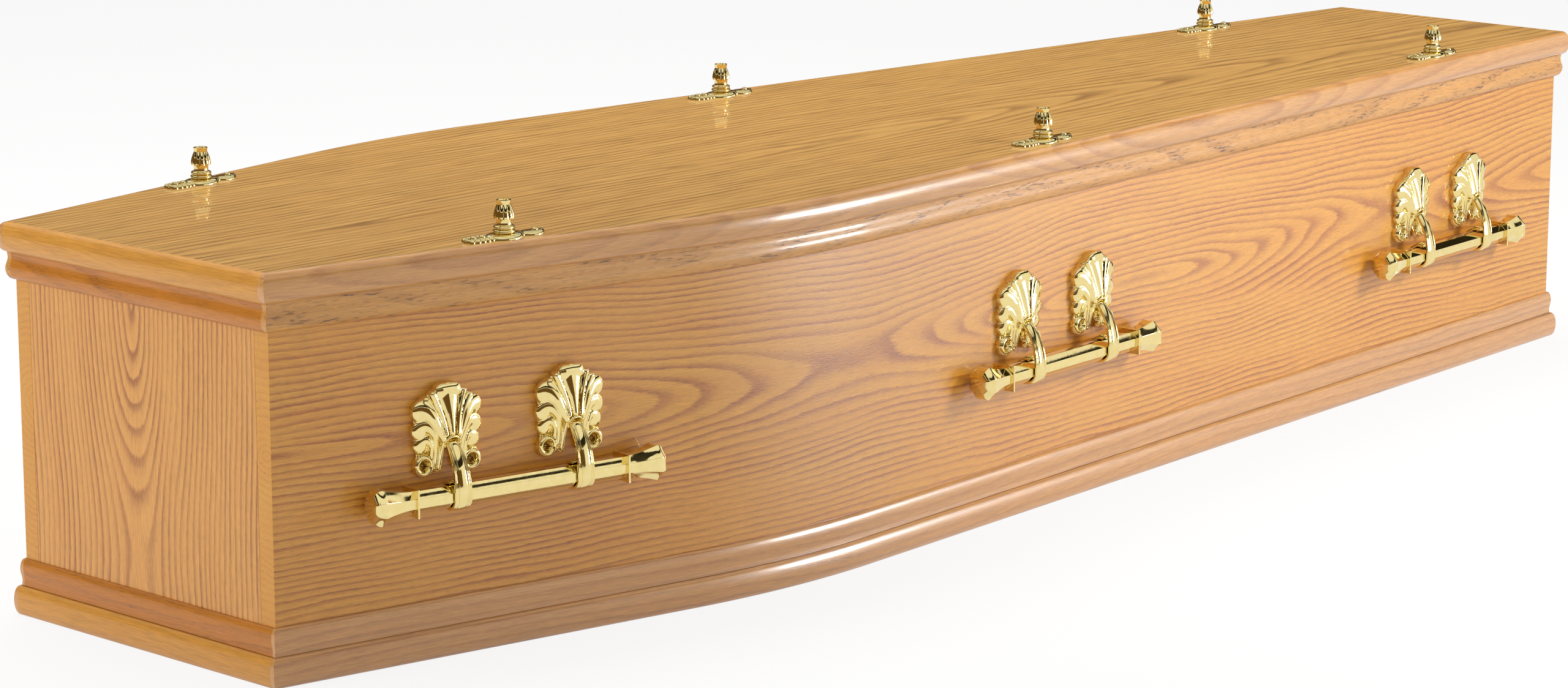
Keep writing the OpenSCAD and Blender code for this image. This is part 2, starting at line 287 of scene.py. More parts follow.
# ---------------------------------------------------------------- the coffin's plan
@dataclass(frozen=True)
class Plan:
    """Outline of the body seen from above: two straight runs and a shoulder bend a side, in metres."""
    body_len: float
    head_w: float
    foot_w: float
    shoulder_w: float = 0.544
    shoulder_x: float = 0.536
    bend_r: float = 0.840

    @classmethod
    def from_frame(cls) -> "Plan":
        """Reads the sizes that the frame's own boxes give."""
        ends = [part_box(f"base_mould_{e.word}") for e in (End.HEAD, End.FOOT)]
        lo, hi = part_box("side_board_left")
        return cls(hi.x - lo.x, ends[0][1].y - ends[0][0].y, ends[1][1].y - ends[1][0].y)

    @property
    def half(self) -> float:
        """Half the body's length."""
        return self.body_len / 2

    @property
    def head_slope(self) -> float:
        """Angle of the head run to the length."""
        return math.atan2((self.shoulder_w - self.head_w) / 2, self.shoulder_x)

    @property
    def foot_slope(self) -> float:
        """Angle of the foot run to the length."""
        return math.atan2((self.shoulder_w - self.foot_w) / 2, self.body_len - self.shoulder_x)

    @property
    def bend(self) -> tuple[Vector, Vector, Vector]:
        """Start, end and centre of the shoulder's arc on the right side."""
        cut = self.bend_r * math.tan((self.head_slope + self.foot_slope) / 2)
        corner = Vector((self.shoulder_x - self.half, self.shoulder_w / 2))
        a, b = self.head_slope, self.foot_slope
        start = corner - cut * Vector((math.cos(a), math.sin(a)))
        end = corner + cut * Vector((math.cos(b), -math.sin(b)))
        return start, end, start - self.bend_r * Vector((-math.sin(a), math.cos(a)))

    def line_y(self, x: float, out: float) -> float:
        """Distance of a straight run from the middle at x, moved out from the wall."""
        if x < self.shoulder_x - self.half:
            return self.head_w / 2 + (x + self.half) * math.tan(self.head_slope) + out / math.cos(self.head_slope)
        return self.foot_w / 2 + (self.half - x) * math.tan(self.foot_slope) + out / math.cos(self.foot_slope)

    def slope_at(self, x: float) -> float:
        """Turn of the right wall at x, about Z."""
        return self.head_slope if x < self.shoulder_x - self.half else -self.foot_slope

    def arc(self, out: float, steps: int) -> list[tuple[float, float]]:
        """Points of the shoulder bend on the right side, moved out from the wall."""
        _, _, mid = self.bend
        turn = self.head_slope + self.foot_slope
        angles = [math.pi / 2 + self.head_slope - turn * i / steps for i in range(steps + 1)]
        return [(mid.x + (self.bend_r + out) * math.cos(a), mid.y + (self.bend_r + out) * math.sin(a)) for a in angles]

    def edge(self, out: float, past: float, steps: int) -> list[tuple[float, float]]:
        """The whole line of the right side, moved out from the wall and run on past both ends."""
        x = self.half + past
        return [(-x, self.line_y(-x, out)), *self.arc(out, steps), (x, self.line_y(x, out))]

    def locate(self, x: float, y: float) -> tuple[float, float]:
        """Finds a point on the side: how far along it from the head end, and how far out from the wall.

        Args:
            x: position along the coffin.
            y: distance from the middle, always positive.

        Returns:
            Length along the wall and distance out of it.
        """
        start, end, mid = self.bend
        a, b = self.head_slope, self.foot_slope
        run = (start.x + self.half) / math.cos(a)
        p = Vector((x, y))
        before = (p - start).dot(Vector((math.cos(a), math.sin(a))))
        if before <= 0:
            return run + before, (p - start).dot(Vector((-math.sin(a), math.cos(a))))
        after = (p - end).dot(Vector((math.cos(b), -math.sin(b))))
        if after >= 0:
            return run + self.bend_r * (a + b) + after, (p - end).dot(Vector((math.sin(b), math.cos(b))))
        arm = p - mid
        return run + self.bend_r * (math.pi / 2 + a - math.atan2(arm.y, arm.x)), arm.length - self.bend_r


def mark_grain(obj: bpy.types.Object, plan: Plan, grain: Grain, seed: float = 0.0) -> bpy.types.Object:
    """Stores each vertex's place in its own board, so that grain follows the board round a bend.

    Args:
        obj: the piece.
        plan: the coffin's plan, for boards that follow a side.
        grain: which way its grain runs.
        seed: a shift in metres that gives each board its own figure.

    Returns:
        The same object, with the attribute "board" (along, across and through the board, in metres) and the
        face attribute "end_cut" (1 where the grain is cut across).
    """
    mesh = obj.data
    top = max(v.co.z for v in mesh.vertices)
    values = []
    for v in mesh.vertices:
        x, y, z = v.co
        if grain is Grain.ALONG_SIDE:
            along, out = plan.locate(x, abs(y))
            values += [along + (seed if y > 0 else 0.0), z, out]
        elif grain is Grain.ALONG_X:
            values += [x + seed, y, z - top]
        elif grain is Grain.ALONG_Y:
            values += [y + seed, z, abs(x) - plan.half]
        else:
            values += [z, -y + seed, abs(x) - plan.half]
    axis = {Grain.ALONG_SIDE: 0, Grain.ALONG_X: 0, Grain.ALONG_Y: 1}.get(grain, 2)
    cuts = [1.0 if abs(face.normal[axis]) > 0.9 else 0.0 for face in mesh.polygons]
    for name in ("board", "end_cut"):
        old = mesh.attributes.get(name)
        if old:
            mesh.attributes.remove(old)
    mesh.attributes.new("board", "FLOAT_VECTOR", "POINT").data.foreach_set("vector", values)
    mesh.attributes.new("end_cut", "FLOAT", "FACE").data.foreach_set("value", cuts)
    return obj


# ---------------------------------------------------------------- finishes
@dataclass(frozen=True)
class OakFinish:
    """Lacquered oak: growth rings cut by the board's face, open pores and fine fibre under a clear coat.

    Lengths are in millimetres. The rings run round a pith line that touches the face at `figure_at` and is
    deepest `dip_len` away from it, which draws the nested arches of a crown-cut board and calm lines further out.
    """
    name: str
    pale: str
    dark: str
    warm: str
    figure_at: tuple[float, float] = (1130.0, 200.0)
    dip_len: float = 480.0
    pith_deep: float = 44.0
    pith_near: float = 3.0
    ring: float = 6.2
    wander: float = 13.0
    ragged: float = 0.9
    contrast: float = 0.9
    pore_depth: float = 0.5
    pore_size: tuple[float, float] = (7.0, 0.8)
    fibre: float = 0.22
    streak: float = 0.9
    gloss: float = 0.4
    coat: float = 0.35
    coat_gloss: float = 0.12
    bump: float = 0.25

    def build(self) -> bpy.types.Material:
        """Builds the material.

        Returns:
            The node material, named for the finish.
        """
        mat = bpy.data.materials.new(self.name)
        mat.use_nodes = True
        tree = mat.node_tree
        tree.nodes.clear()
        place = add_node(tree, "ShaderNodeAttribute", attribute_name="board").outputs["Vector"]
        mm = add_node(tree, "ShaderNodeVectorMath", {0: place, "Scale": 1000.0}, operation="SCALE").outputs[0]
        # each unevenness of the wood: its size in millimetres along, across and through the board, and its detail
        noise = {}
        pore_long, pore_wide = self.pore_size
        for use, size, detail in (("slow", (300, 75, 60), 2.0), ("rag", (11, 1.6, 1.6), 3.0),
                                  ("wave", (70, 16, 16), 1.0), ("patch", (190, 26, 26), 1.0),
                                  ("pore", (pore_long, pore_wide, pore_wide), 1.0),
                                  ("fine", (24 * self.streak, self.streak, self.streak), 3.0),
                                  ("broad", (260, 30, 30), 2.0)):
            at = add_node(tree, "ShaderNodeVectorMath", {0: mm, 1: tuple(1 / s for s in size)}, operation="MULTIPLY")
            noise[use] = add_node(tree, "ShaderNodeTexNoise", {"Vector": at.outputs[0], "Scale": 1.0, "Detail": detail})
        noise["fine"].inputs["Roughness"].default_value = 0.65
        # slow wander of the rings over a few hundred millimetres along the board
        slow_mid = add_node(tree, "ShaderNodeVectorMath", {0: noise["slow"].outputs["Color"], 1: (0.5, 0.5, 0.5)},
                            operation="SUBTRACT")
        shift = add_node(tree, "ShaderNodeVectorMath",
                         {0: slow_mid.outputs[0], 1: (0.0, 2.0 * self.wander, 1.2 * self.wander)},
                         operation="MULTIPLY")
        moved = add_node(tree, "ShaderNodeVectorMath", {0: mm, 1: shift.outputs[0]}, operation="ADD")
        about = add_node(tree, "ShaderNodeVectorMath",
                         {0: moved.outputs[0], 1: (self.figure_at[0], self.figure_at[1], 0.0)}, operation="SUBTRACT")
        axes = add_node(tree, "ShaderNodeSeparateXYZ", {0: about.outputs[0]})
        # the pith's depth: near the face at the figure, deep away from it
        along = add_node(tree, "ShaderNodeMath", {0: axes.outputs[0], 1: self.dip_len}, operation="DIVIDE").outputs[0]
        square = add_node(tree, "ShaderNodeMath", {0: along, 1: along}, operation="MULTIPLY").outputs[0]
        minus = add_node(tree, "ShaderNodeMath", {0: 1.0, 1: square}, operation="SUBTRACT").outputs[0]
        bell = add_node(tree, "ShaderNodeMath", {0: minus}, operation="EXPONENT").outputs[0]
        rise = add_node(tree, "ShaderNodeMath", {0: square, 1: bell}, operation="MULTIPLY").outputs[0]
        deep = add_node(tree, "ShaderNodeMath", {0: rise, 1: self.pith_deep, 2: self.pith_near},
                        operation="MULTIPLY_ADD").outputs[0]
        depth = add_node(tree, "ShaderNodeMath", {0: deep, 1: axes.outputs[2]}, operation="ADD").outputs[0]
        depth2 = add_node(tree, "ShaderNodeMath", {0: depth, 1: depth}, operation="MULTIPLY").outputs[0]
        both = add_node(tree, "ShaderNodeMath", {0: axes.outputs[1], 1: axes.outputs[1], 2: depth2},
                        operation="MULTIPLY_ADD").outputs[0]
        radius = add_node(tree, "ShaderNodeMath", {0: both}, operation="SQRT").outputs[0]
        # ragged ring edges, where rows of pores break the line
        edge = radius
        for use in ("rag", "wave"):
            edge = add_node(tree, "ShaderNodeMath", {0: noise[use].outputs[0], 1: 2 * self.ragged, 2: edge},
                            operation="MULTIPLY_ADD").outputs[0]
        turns = add_node(tree, "ShaderNodeMath", {0: edge, 1: self.ring}, operation="DIVIDE").outputs[0]
        part = add_node(tree, "ShaderNodeMath", {0: turns}, operation="FRACT").outputs[0]
        ramp = add_node(tree, "ShaderNodeValToRGB", {0: part})
        stops = ramp.color_ramp.elements
        stops[0].position, stops[0].color = 0.0, (0.5, 0.5, 0.5, 1)
        stops[1].position, stops[1].color = 1.0, (0.5, 0.5, 0.5, 1)
        for at, level in ((0.06, 1.0), (0.2, 0.8), (0.42, 0.22), (0.66, 0.03), (0.93, 0.0)):
            stop = stops.new(at)
            stop.color = (level, level, level, 1)
        early = ramp.outputs["Color"]
        # some rings are strong and some faint
        strong = add_node(tree, "ShaderNodeMapRange", {0: noise["patch"].outputs[0], 1: 0.3, 2: 0.68, 3: 0.35, 4: 1.0})
        band = add_node(tree, "ShaderNodeMath", {0: early, 1: strong.outputs[0]}, operation="MULTIPLY").outputs[0]
        # open pores: short dark dashes. Oak's are about 0.3 mm wide; they are drawn wider so that they show,
        # and several times wider on the lid and the open-pored mouldings
        pore_cut = add_node(tree, "ShaderNodeMapRange", {0: noise["pore"].outputs[0], 1: 0.54, 2: 0.68, 3: 0.0, 4: 1.0})
        pore_in = add_node(tree, "ShaderNodeMath", {0: band, 1: 0.8, 2: 0.2}, operation="MULTIPLY_ADD").outputs[0]
        pore = add_node(tree, "ShaderNodeMath", {0: pore_cut.outputs[0], 1: pore_in}, operation="MULTIPLY").outputs[0]
        # the wood's own tone, which drifts slowly between two colours
        base = add_node(tree, "ShaderNodeMix",
                        {0: noise["broad"].outputs[0], 6: hex_colour(self.pale), 7: hex_colour(self.warm)},
                        data_type="RGBA").outputs[2]
        # a board's end shows its rings only faintly, as its lacquered end grain is even
        end_cut = add_node(tree, "ShaderNodeAttribute", attribute_name="end_cut").outputs["Fac"]
        clear = add_node(tree, "ShaderNodeMapRange",
                         {0: end_cut, 1: 0.0, 2: 1.0, 3: self.contrast, 4: 0.15 * self.contrast})
        much = add_node(tree, "ShaderNodeMath", {0: band, 1: clear.outputs[0]}, operation="MULTIPLY").outputs[0]
        ringed = add_node(tree, "ShaderNodeMix", {0: much, 6: base, 7: hex_colour(self.dark)},
                          data_type="RGBA").outputs[2]
        pored_much = add_node(tree, "ShaderNodeMath", {0: pore, 1: self.pore_depth}, operation="MULTIPLY").outputs[0]
        deep_tone = tuple(0.42 * c for c in hex_colour(self.dark)[:3]) + (1.0,)
        pored = add_node(tree, "ShaderNodeMix", {0: pored_much, 6: ringed, 7: deep_tone}, data_type="RGBA").outputs[2]
        # fibre streaks, drawn coarser than real fibre so that they show, and coarsest on the lid
        fine = noise["fine"].outputs[0]
        value = add_node(tree, "ShaderNodeMapRange",
                         {0: fine, 1: 0.25, 2: 0.75, 3: 1.0 - self.fibre, 4: 1.0 + self.fibre})
        colour = add_node(tree, "ShaderNodeHueSaturation", {"Color": pored, "Value": value.outputs[0]}).outputs[0]
        hollow = add_node(tree, "ShaderNodeMath", {0: pore, 1: -1.0, 2: fine}, operation="MULTIPLY_ADD").outputs[0]
        relief = add_node(tree, "ShaderNodeBump", {"Strength": self.bump, "Distance": 0.0003, "Height": hollow})
        shader = add_node(tree, "ShaderNodeBsdfPrincipled",
                          {"Base Color": colour, "Roughness": self.gloss, "IOR": 1.5, "Coat Weight": self.coat,
                           "Coat Roughness": self.coat_gloss, "Coat IOR": 1.5, "Normal": relief.outputs[0]})
        add_node(tree, "ShaderNodeOutputMaterial", {"Surface": shader.outputs[0]})
        return mat


@dataclass(frozen=True)
class BrassFinish:
    """Electro-brassed casting: a bright mirror-like yellow metal with faint unevenness from polishing."""
    name: str
    colour: str = "#f2e0a4"
    tarnish: str = "#e6cf86"
    rough: float = 0.05
    rough_spread: float = 0.05
    bump: float = 0.05

    def build(self) -> bpy.types.Material:
        """Builds the material.

        Returns:
            The node material, named for the finish.
        """
        mat = bpy.data.materials.new(self.name)
        mat.use_nodes = True
        tree = mat.node_tree
        tree.nodes.clear()
        place = add_node(tree, "ShaderNodeTexCoord").outputs["Object"]
        # cloudy polishing marks a few millimetres across
        cloud = add_node(tree, "ShaderNodeTexNoise", {"Vector": place, "Scale": 140.0, "Detail": 3.0})
        tone = add_node(tree, "ShaderNodeMix",
                        {0: cloud.outputs[0], 6: hex_colour(self.colour), 7: hex_colour(self.tarnish)},
                        data_type="RGBA").outputs[2]
        rough = add_node(tree, "ShaderNodeMapRange",
                         {0: cloud.outputs[0], 1: 0.3, 2: 0.7, 3: self.rough, 4: self.rough + self.rough_spread})
        swell = add_node(tree, "ShaderNodeTexNoise", {"Vector": place, "Scale": 260.0, "Detail": 1.0})
        relief = add_node(tree, "ShaderNodeBump",
                          {"Strength": self.bump, "Distance": 0.0004, "Height": swell.outputs[0]})
        shader = add_node(tree, "ShaderNodeBsdfPrincipled",
                          {"Base Color": tone, "Metallic": 1.0, "Roughness": rough.outputs[0],
                           "Normal": relief.outputs[0]})
        add_node(tree, "ShaderNodeOutputMaterial", {"Surface": shader.outputs[0]})
        return mat


# ---------------------------------------------------------------- boards
@dataclass
class BodyBoards:
    """The six boards of the body: lid, base, two bent sides and two ends."""
    plan: Plan
    panel: bpy.types.Material
    lid: bpy.types.Material
    end: bpy.types.Material
    stand_out: float = 4.0
    side_t: float = 18.0
    steps: int = 28
    arris: float = 0.7
    end_arris: float = 0.4

    def outline(self, out: float, end_out: float) -> list[tuple[float, float]]:
        """The whole plan, moved out from the walls and past the ends, in metres."""
        top = self.plan.edge(out, end_out, self.steps)
        return top + [(px, -py) for px, py in reversed(top)]

    def flat(self, node: str) -> bpy.types.Object:
        """Builds the lid or base board from the plan and the node's own height."""
        lo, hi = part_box(node)
        ring = self.outline(self.stand_out * MM, self.stand_out * MM)
        n = len(ring)
        verts = [(x, y, z) for z in (lo.z, hi.z) for x, y in ring]
        faces = [tuple(range(n)), tuple(range(n, 2 * n))]
        faces += [(i, (i + 1) % n, n + (i + 1) % n, n + i) for i in range(n)]
        board = bevelled(mesh_object(f"{node}_oak", verts, faces), self.arris)
        mark_grain(board, self.plan, Grain.ALONG_X, 0.0 if node == "lid_board" else 0.7)
        return hand_over(board, self.lid, "flat_boards", node)

    def side(self, side: Side) -> bpy.types.Object:
        """Builds one bent side board, full length, with its end grain showing at both ends."""
        node = f"side_board_{side.word}"
        lo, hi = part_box(node)
        outer, inner = (self.plan.edge(out, 0.0, self.steps) for out in (0.0, -self.side_t * MM))
        verts = []
        for (ox, oy), (ix, iy) in zip(outer, inner):
            for x, y in ((ox, oy), (ix, iy)):
                verts += [(x, side.value * y, lo.z), (x, side.value * y, hi.z)]
        faces = []
        last = 4 * (len(outer) - 1)
        for a in range(0, last, 4):
            b = a + 4
            faces += [(a, a + 1, b + 1, b), (a + 2, b + 2, b + 3, a + 3),
                      (a, b, b + 2, a + 2), (a + 1, a + 3, b + 3, b + 1)]
        faces += [(0, 2, 3, 1), (last, last + 1, last + 3, last + 2)]
        board = bevelled(mesh_object(f"{node}_oak", verts, faces, 30), self.arris)
        mark_grain(board, self.plan, Grain.ALONG_SIDE, 0.35)
        return hand_over(board, self.panel, "wall_boards", node)

    def end_board(self, end: End) -> bpy.types.Object:
        """Builds an end board, set between the side boards with its grain upright."""
        node = f"{end.word}_board"
        lo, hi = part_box(node)
        corners = [(x, s * self.plan.line_y(x, -self.side_t * MM)) for x, s in
                   ((lo.x, -1), (hi.x, -1), (hi.x, 1), (lo.x, 1))]
        verts = [(x, y, z) for z in (lo.z, hi.z) for x, y in corners]
        faces = [(0, 3, 2, 1), (4, 5, 6, 7)] + [(i, (i + 1) % 4, 4 + (i + 1) % 4, 4 + i) for i in range(4)]
        board = bevelled(mesh_object(f"{node}_oak", verts, faces), self.end_arris)
        mark_grain(board, self.plan, Grain.UPRIGHT, 0.0 if end is End.HEAD else 0.09)
        return hand_over(board, self.end, "wall_boards", node)

    def make(self) -> None:
        """Builds all six boards."""
        self.flat("lid_board")
        self.flat("base_board")
        for side in Side:
            self.side(side)
        for end in End:
            self.end_board(end)


# ---------------------------------------------------------------- mouldings
@dataclass
class Moulding:
    """One run of moulding on all four sides, with the side pieces through to the ends."""
    plan: Plan
    kind: str
    curve: Callable[[float], float]
    stand_out: float
    side_finish: bpy.types.Material
    end_finish: bpy.types.Material
    seed: float
    rows: int = 22
    steps: int = 30
    arris: float = 0.5
    end_arris: float = 0.35

    def levels(self, node: str) -> list[tuple[float, float]]:
        """Heights up the moulding and how far its face stands out at each, in metres."""
        lo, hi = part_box(node)
        shares = [0.5 - 0.5 * math.cos(math.pi * k / self.rows) for k in range(self.rows + 1)]
        return [(lo.z + (hi.z - lo.z) * q, self.curve(q) * MM) for q in shares]

    def side(self, side: Side) -> bpy.types.Object:
        """Builds a side piece, its ends cut to the curve that the end piece carries."""
        node = f"{self.kind}_{side.word}"
        levels = self.levels(node)
        inner = self.stand_out * MM
        start, end, _ = self.plan.bend
        before = [-self.plan.half + (start.x + self.plan.half) * i / 4 for i in range(1, 4)]
        after = [end.x + (self.plan.half - end.x) * i / 8 for i in range(1, 8)]
        rings: list[list[Point]] = []

        def ring(place: Callable[[float], tuple[float, float]]) -> None:
            """Adds one section: its face going up, then its back coming down."""
            face = [(*place(inner + u), z) for z, u in levels]
            back = [(*place(inner), z) for z, _ in reversed(levels)]
            rings.append(face + back)

        def end_ring(sign: int) -> None:
            """Adds the section at an end, where each height reaches as far as the end piece does."""
            face, back = [], []
            for z, u in levels:
                x = sign * (self.plan.half + inner + u)
                face.append((x, self.plan.line_y(x, inner + u), z))
                back.append((x, self.plan.line_y(x, inner), z))
            rings.append(face + back[::-1])

        end_ring(-1)
        for x in before:
            ring(lambda out, x=x: (x, self.plan.line_y(x, out)))
        for i in range(self.steps + 1):
            ring(lambda out, i=i: self.plan.arc(out, self.steps)[i])
        for x in after:
            ring(lambda out, x=x: (x, self.plan.line_y(x, out)))
        end_ring(1)
        cols = len(rings[0])
        verts = [(x, side.value * y, z) for r in rings for x, y, z in r]
        faces = grid_faces(len(rings), cols)
        for first in (0, (len(rings) - 1) * cols):
            for k in range(len(levels) - 1):
                faces.append((first + k, first + k + 1, first + cols - 2 - k, first + cols - 1 - k))
        piece = bevelled(mesh_object(f"{node}_oak", verts, faces, 30), self.arris, 45)
        mark_grain(piece, self.plan, Grain.ALONG_SIDE, self.seed)
        return hand_over(piece, self.side_finish, "mouldings", node)

    def end(self, end: End) -> bpy.types.Object:
        """Builds an end piece, butted between the two side pieces."""
        node = f"{self.kind}_{end.word}"
        levels = self.levels(node)
        inner = self.stand_out * MM
        rings = []
        for sign in (-1, -0.5, 0, 0.5, 1):
            face, back = [], []
            for z, u in levels:
                x = end.value * (self.plan.half + inner + u)
                face.append((x, sign * self.plan.line_y(x, inner), z))
                x = end.value * (self.plan.half + inner)
                back.append((x, sign * self.plan.line_y(x, inner), z))
            rings.append(face + back[::-1])
        verts = [v for r in rings for v in r]
        faces = solid_faces(len(rings), len(rings[0]))
        piece = bevelled(mesh_object(f"{node}_oak", verts, faces, 30), self.end_arris, 45)
        mark_grain(piece, self.plan, Grain.ALONG_Y, self.seed)
        return hand_over(piece, self.end_finish, "mouldings", node)

    def make(self) -> None:
        """Builds the four pieces of the run."""
        for side in Side:
            self.side(side)
        for end in End:
            self.end(end)


def half_round(thick: float, edge: float = 1.0) -> Callable[[float], float]:
    """A half-round face, in millimetres out from its back at a share of its height."""
    return lambda q: edge + (thick - edge) * math.sqrt(max(0.0, 1 - (2 * q - 1) ** 2))


def lipped(lip: float, neck: float, upright: bool, edge: float = 1.0) -> Callable[[float], float]:
    """A rounded lip with a hollow neck past it, as millimetres out from its back at a share of its height."""
    def face(q: float) -> float:
        """The face with its lip at the bottom."""
        if q < 0.4:
            return edge + (lip - edge) * math.sqrt(max(0.0, 1 - (1 - q / 0.4) ** 2))
        if q < 0.82:
            return neck + (lip - neck) * (1 + math.cos(math.pi * (q - 0.4) / 0.42)) / 2
        return neck * (1 + 0.12 * (q - 0.82) / 0.18)
    return face if upright else lambda q: face(1 - q)


# ---------------------------------------------------------------- repeated pieces, by Geometry Nodes
class RepeatTree:
    """A Geometry Nodes tree that puts one shape on many turned points and leaves a plain mesh."""

    def __init__(self, name: str) -> None:
        """Builds the tree; its inputs are the shape, its size and its finish."""
        tree = bpy.data.node_groups.new(name, "GeometryNodeTree")
        face = tree.interface
        face.new_socket("Points", in_out="INPUT", socket_type="NodeSocketGeometry")
        face.new_socket("Shape", in_out="INPUT", socket_type="NodeSocketObject")
        face.new_socket("Size", in_out="INPUT", socket_type="NodeSocketFloat").default_value = 1.0
        face.new_socket("Finish", in_out="INPUT", socket_type="NodeSocketMaterial")
        face.new_socket("Geometry", in_out="OUTPUT", socket_type="NodeSocketGeometry")
        given = add_node(tree, "NodeGroupInput").outputs
        shape = add_node(tree, "GeometryNodeObjectInfo", {"Object": given["Shape"]}).outputs["Geometry"]
        turn = add_node(tree, "GeometryNodeInputNamedAttribute", {"Name": "turn"}, data_type="FLOAT_VECTOR")
        scale = add_node(tree, "GeometryNodeInputNamedAttribute", {"Name": "size"}, data_type="FLOAT_VECTOR")
        euler = add_node(tree, "FunctionNodeEulerToRotation", {0: turn.outputs[0]}).outputs[0]
        sized = add_node(tree, "ShaderNodeVectorMath", {0: scale.outputs[0], "Scale": given["Size"]}, operation="SCALE")
        spread = add_node(tree, "GeometryNodeInstanceOnPoints",
                          {"Points": given["Points"], "Instance": shape, "Rotation": euler, "Scale": sized.outputs[0]})
        real = add_node(tree, "GeometryNodeRealizeInstances", {0: spread.outputs[0]})
        dressed = add_node(tree, "GeometryNodeSetMaterial", {"Geometry": real.outputs[0], "Material": given["Finish"]})
        add_node(tree, "NodeGroupOutput", {0: dressed.outputs[0]})
        self.tree = tree

    def run(self, name: str, shape: bpy.types.Object, points: Sequence[tuple[Vector, Sequence[float], Sequence[float]]],
            finish: bpy.types.Material, size: float = 1.0) -> bpy.types.Object:
        """Puts the shape on each point and returns the result as a plain mesh.

        Args:
            name: the new object's name.
            shape: the shape to repeat.
            points: place, Euler turn and size of each copy.
            finish: the copies' material.
            size: a size for all the copies.

        Returns:
            The realised object.
        """
        mesh = bpy.data.meshes.new(name)
        mesh.from_pydata([tuple(p) for p, _, _ in points], [], [])
        for key, index in (("turn", 1), ("size", 2)):
            layer = mesh.attributes.new(key, "FLOAT_VECTOR", "POINT")
            layer.data.foreach_set("vector", [c for point in points for c in point[index]])
        obj = link(bpy.data.objects.new(name, mesh))
        mod = obj.modifiers.new("repeat", "NODES")
        mod.node_group = self.tree
        ids = {s.name: s.identifier for s in self.tree.interface.items_tree if s.in_out == "INPUT"}
        mod[ids["Shape"]] = shape
        mod[ids["Size"]] = size
        mod[ids["Finish"]] = finish
        made_plain(obj)
        for key in ("turn", "size"):
            layer = obj.data.attributes.get(key)
            if layer:
                obj.data.attributes.remove(layer)
        return obj


def lathe(name: str, outline: Sequence[tuple[float, float]], around: int, sharp_deg: float = 40.0,
          flute: Callable[[float, float], float] | None = None) -> bpy.types.Object:
    """Turns an outline of radius and height, in millimetres, about Z.

    Args:
        name: the object's name.
        outline: radius and height pairs from the bottom up.
        around: vertices round the turning.
        sharp_deg: edges sharper than this stay sharp.
        flute: a factor on the radius from height and angle, for flutes.

    Returns:
        The turned object in metres.
    """
    verts: list[Point] = []
    for r, z in outline:
        for j in range(around):
            a = 2 * math.pi * j / around
            k = r * (flute(z, a) if flute else 1.0)
            verts.append((k * math.cos(a) * MM, k * math.sin(a) * MM, z * MM))
    faces = grid_faces(len(outline), around)
    if outline[0][0] > 0:
        faces.append(tuple(range(around)))
    if outline[-1][0] > 0:
        faces.append(tuple(range((len(outline) - 1) * around, len(outline) * around)))
    return mesh_object(name, verts, faces, sharp_deg, 1e-6)


def cross_head(radius: float, dome: float, slot: float) -> bpy.types.Object:
    """A small countersunk screw head with a cross recess, facing +Z.

    Args:
        radius: the head's radius in millimetres.
        dome: how far its middle stands up.
        slot: half the width of the cross.

    Returns:
        The head, to be repeated and then removed.
    """
    rings, around = 7, 32
    verts: list[Point] = []
    for i in range(rings + 1):
        r = radius * i / rings
        for j in range(around):
            a = 2 * math.pi * j / around
            x, y = r * math.cos(a), r * math.sin(a)
            z = dome * (1 - (i / rings) ** 2)
            if min(abs(x), abs(y)) < slot and max(abs(x), abs(y)) < 0.62 * radius:
                z -= 1.1
            verts.append((x * MM, y * MM, z * MM))
    verts += [(x, y, z - 1.5 * MM) for x, y, z in verts[rings * around:]]
    faces = grid_faces(rings + 2, around)
    faces.append(tuple(range((rings + 1) * around, (rings + 2) * around)))
    return mesh_object("screw_head", verts, faces, 30, 1e-6)


# ---------------------------------------------------------------- handles
@dataclass(frozen=True)
class Frond:
    """One rounded frond of the leaf: its middle line, half-widths and heights, in millimetres."""
    line: tuple[tuple[float, float], ...]
    wide: tuple[float, float, float]
    high: tuple[float, float, float]

    def sampled(self, count: int = 130) -> np.ndarray:
        """Places, half-widths and heights along the frond, one row each."""
        pts = np.array(self.line, float)
        knots = np.linspace(0, 1, len(pts))
        t = np.linspace(0, 1, count)
        if len(pts) > 2:
            coef = np.polyfit(knots, pts, len(pts) - 1)
            xy = np.stack([np.polyval(coef[:, k], t) for k in (0, 1)], 1)
        else:
            xy = np.stack([np.interp(t, knots, pts[:, k]) for k in (0, 1)], 1)
        third = np.linspace(0, 1, 3)
        return np.column_stack([xy, np.interp(t, third, self.wide), np.interp(t, third, self.high)])


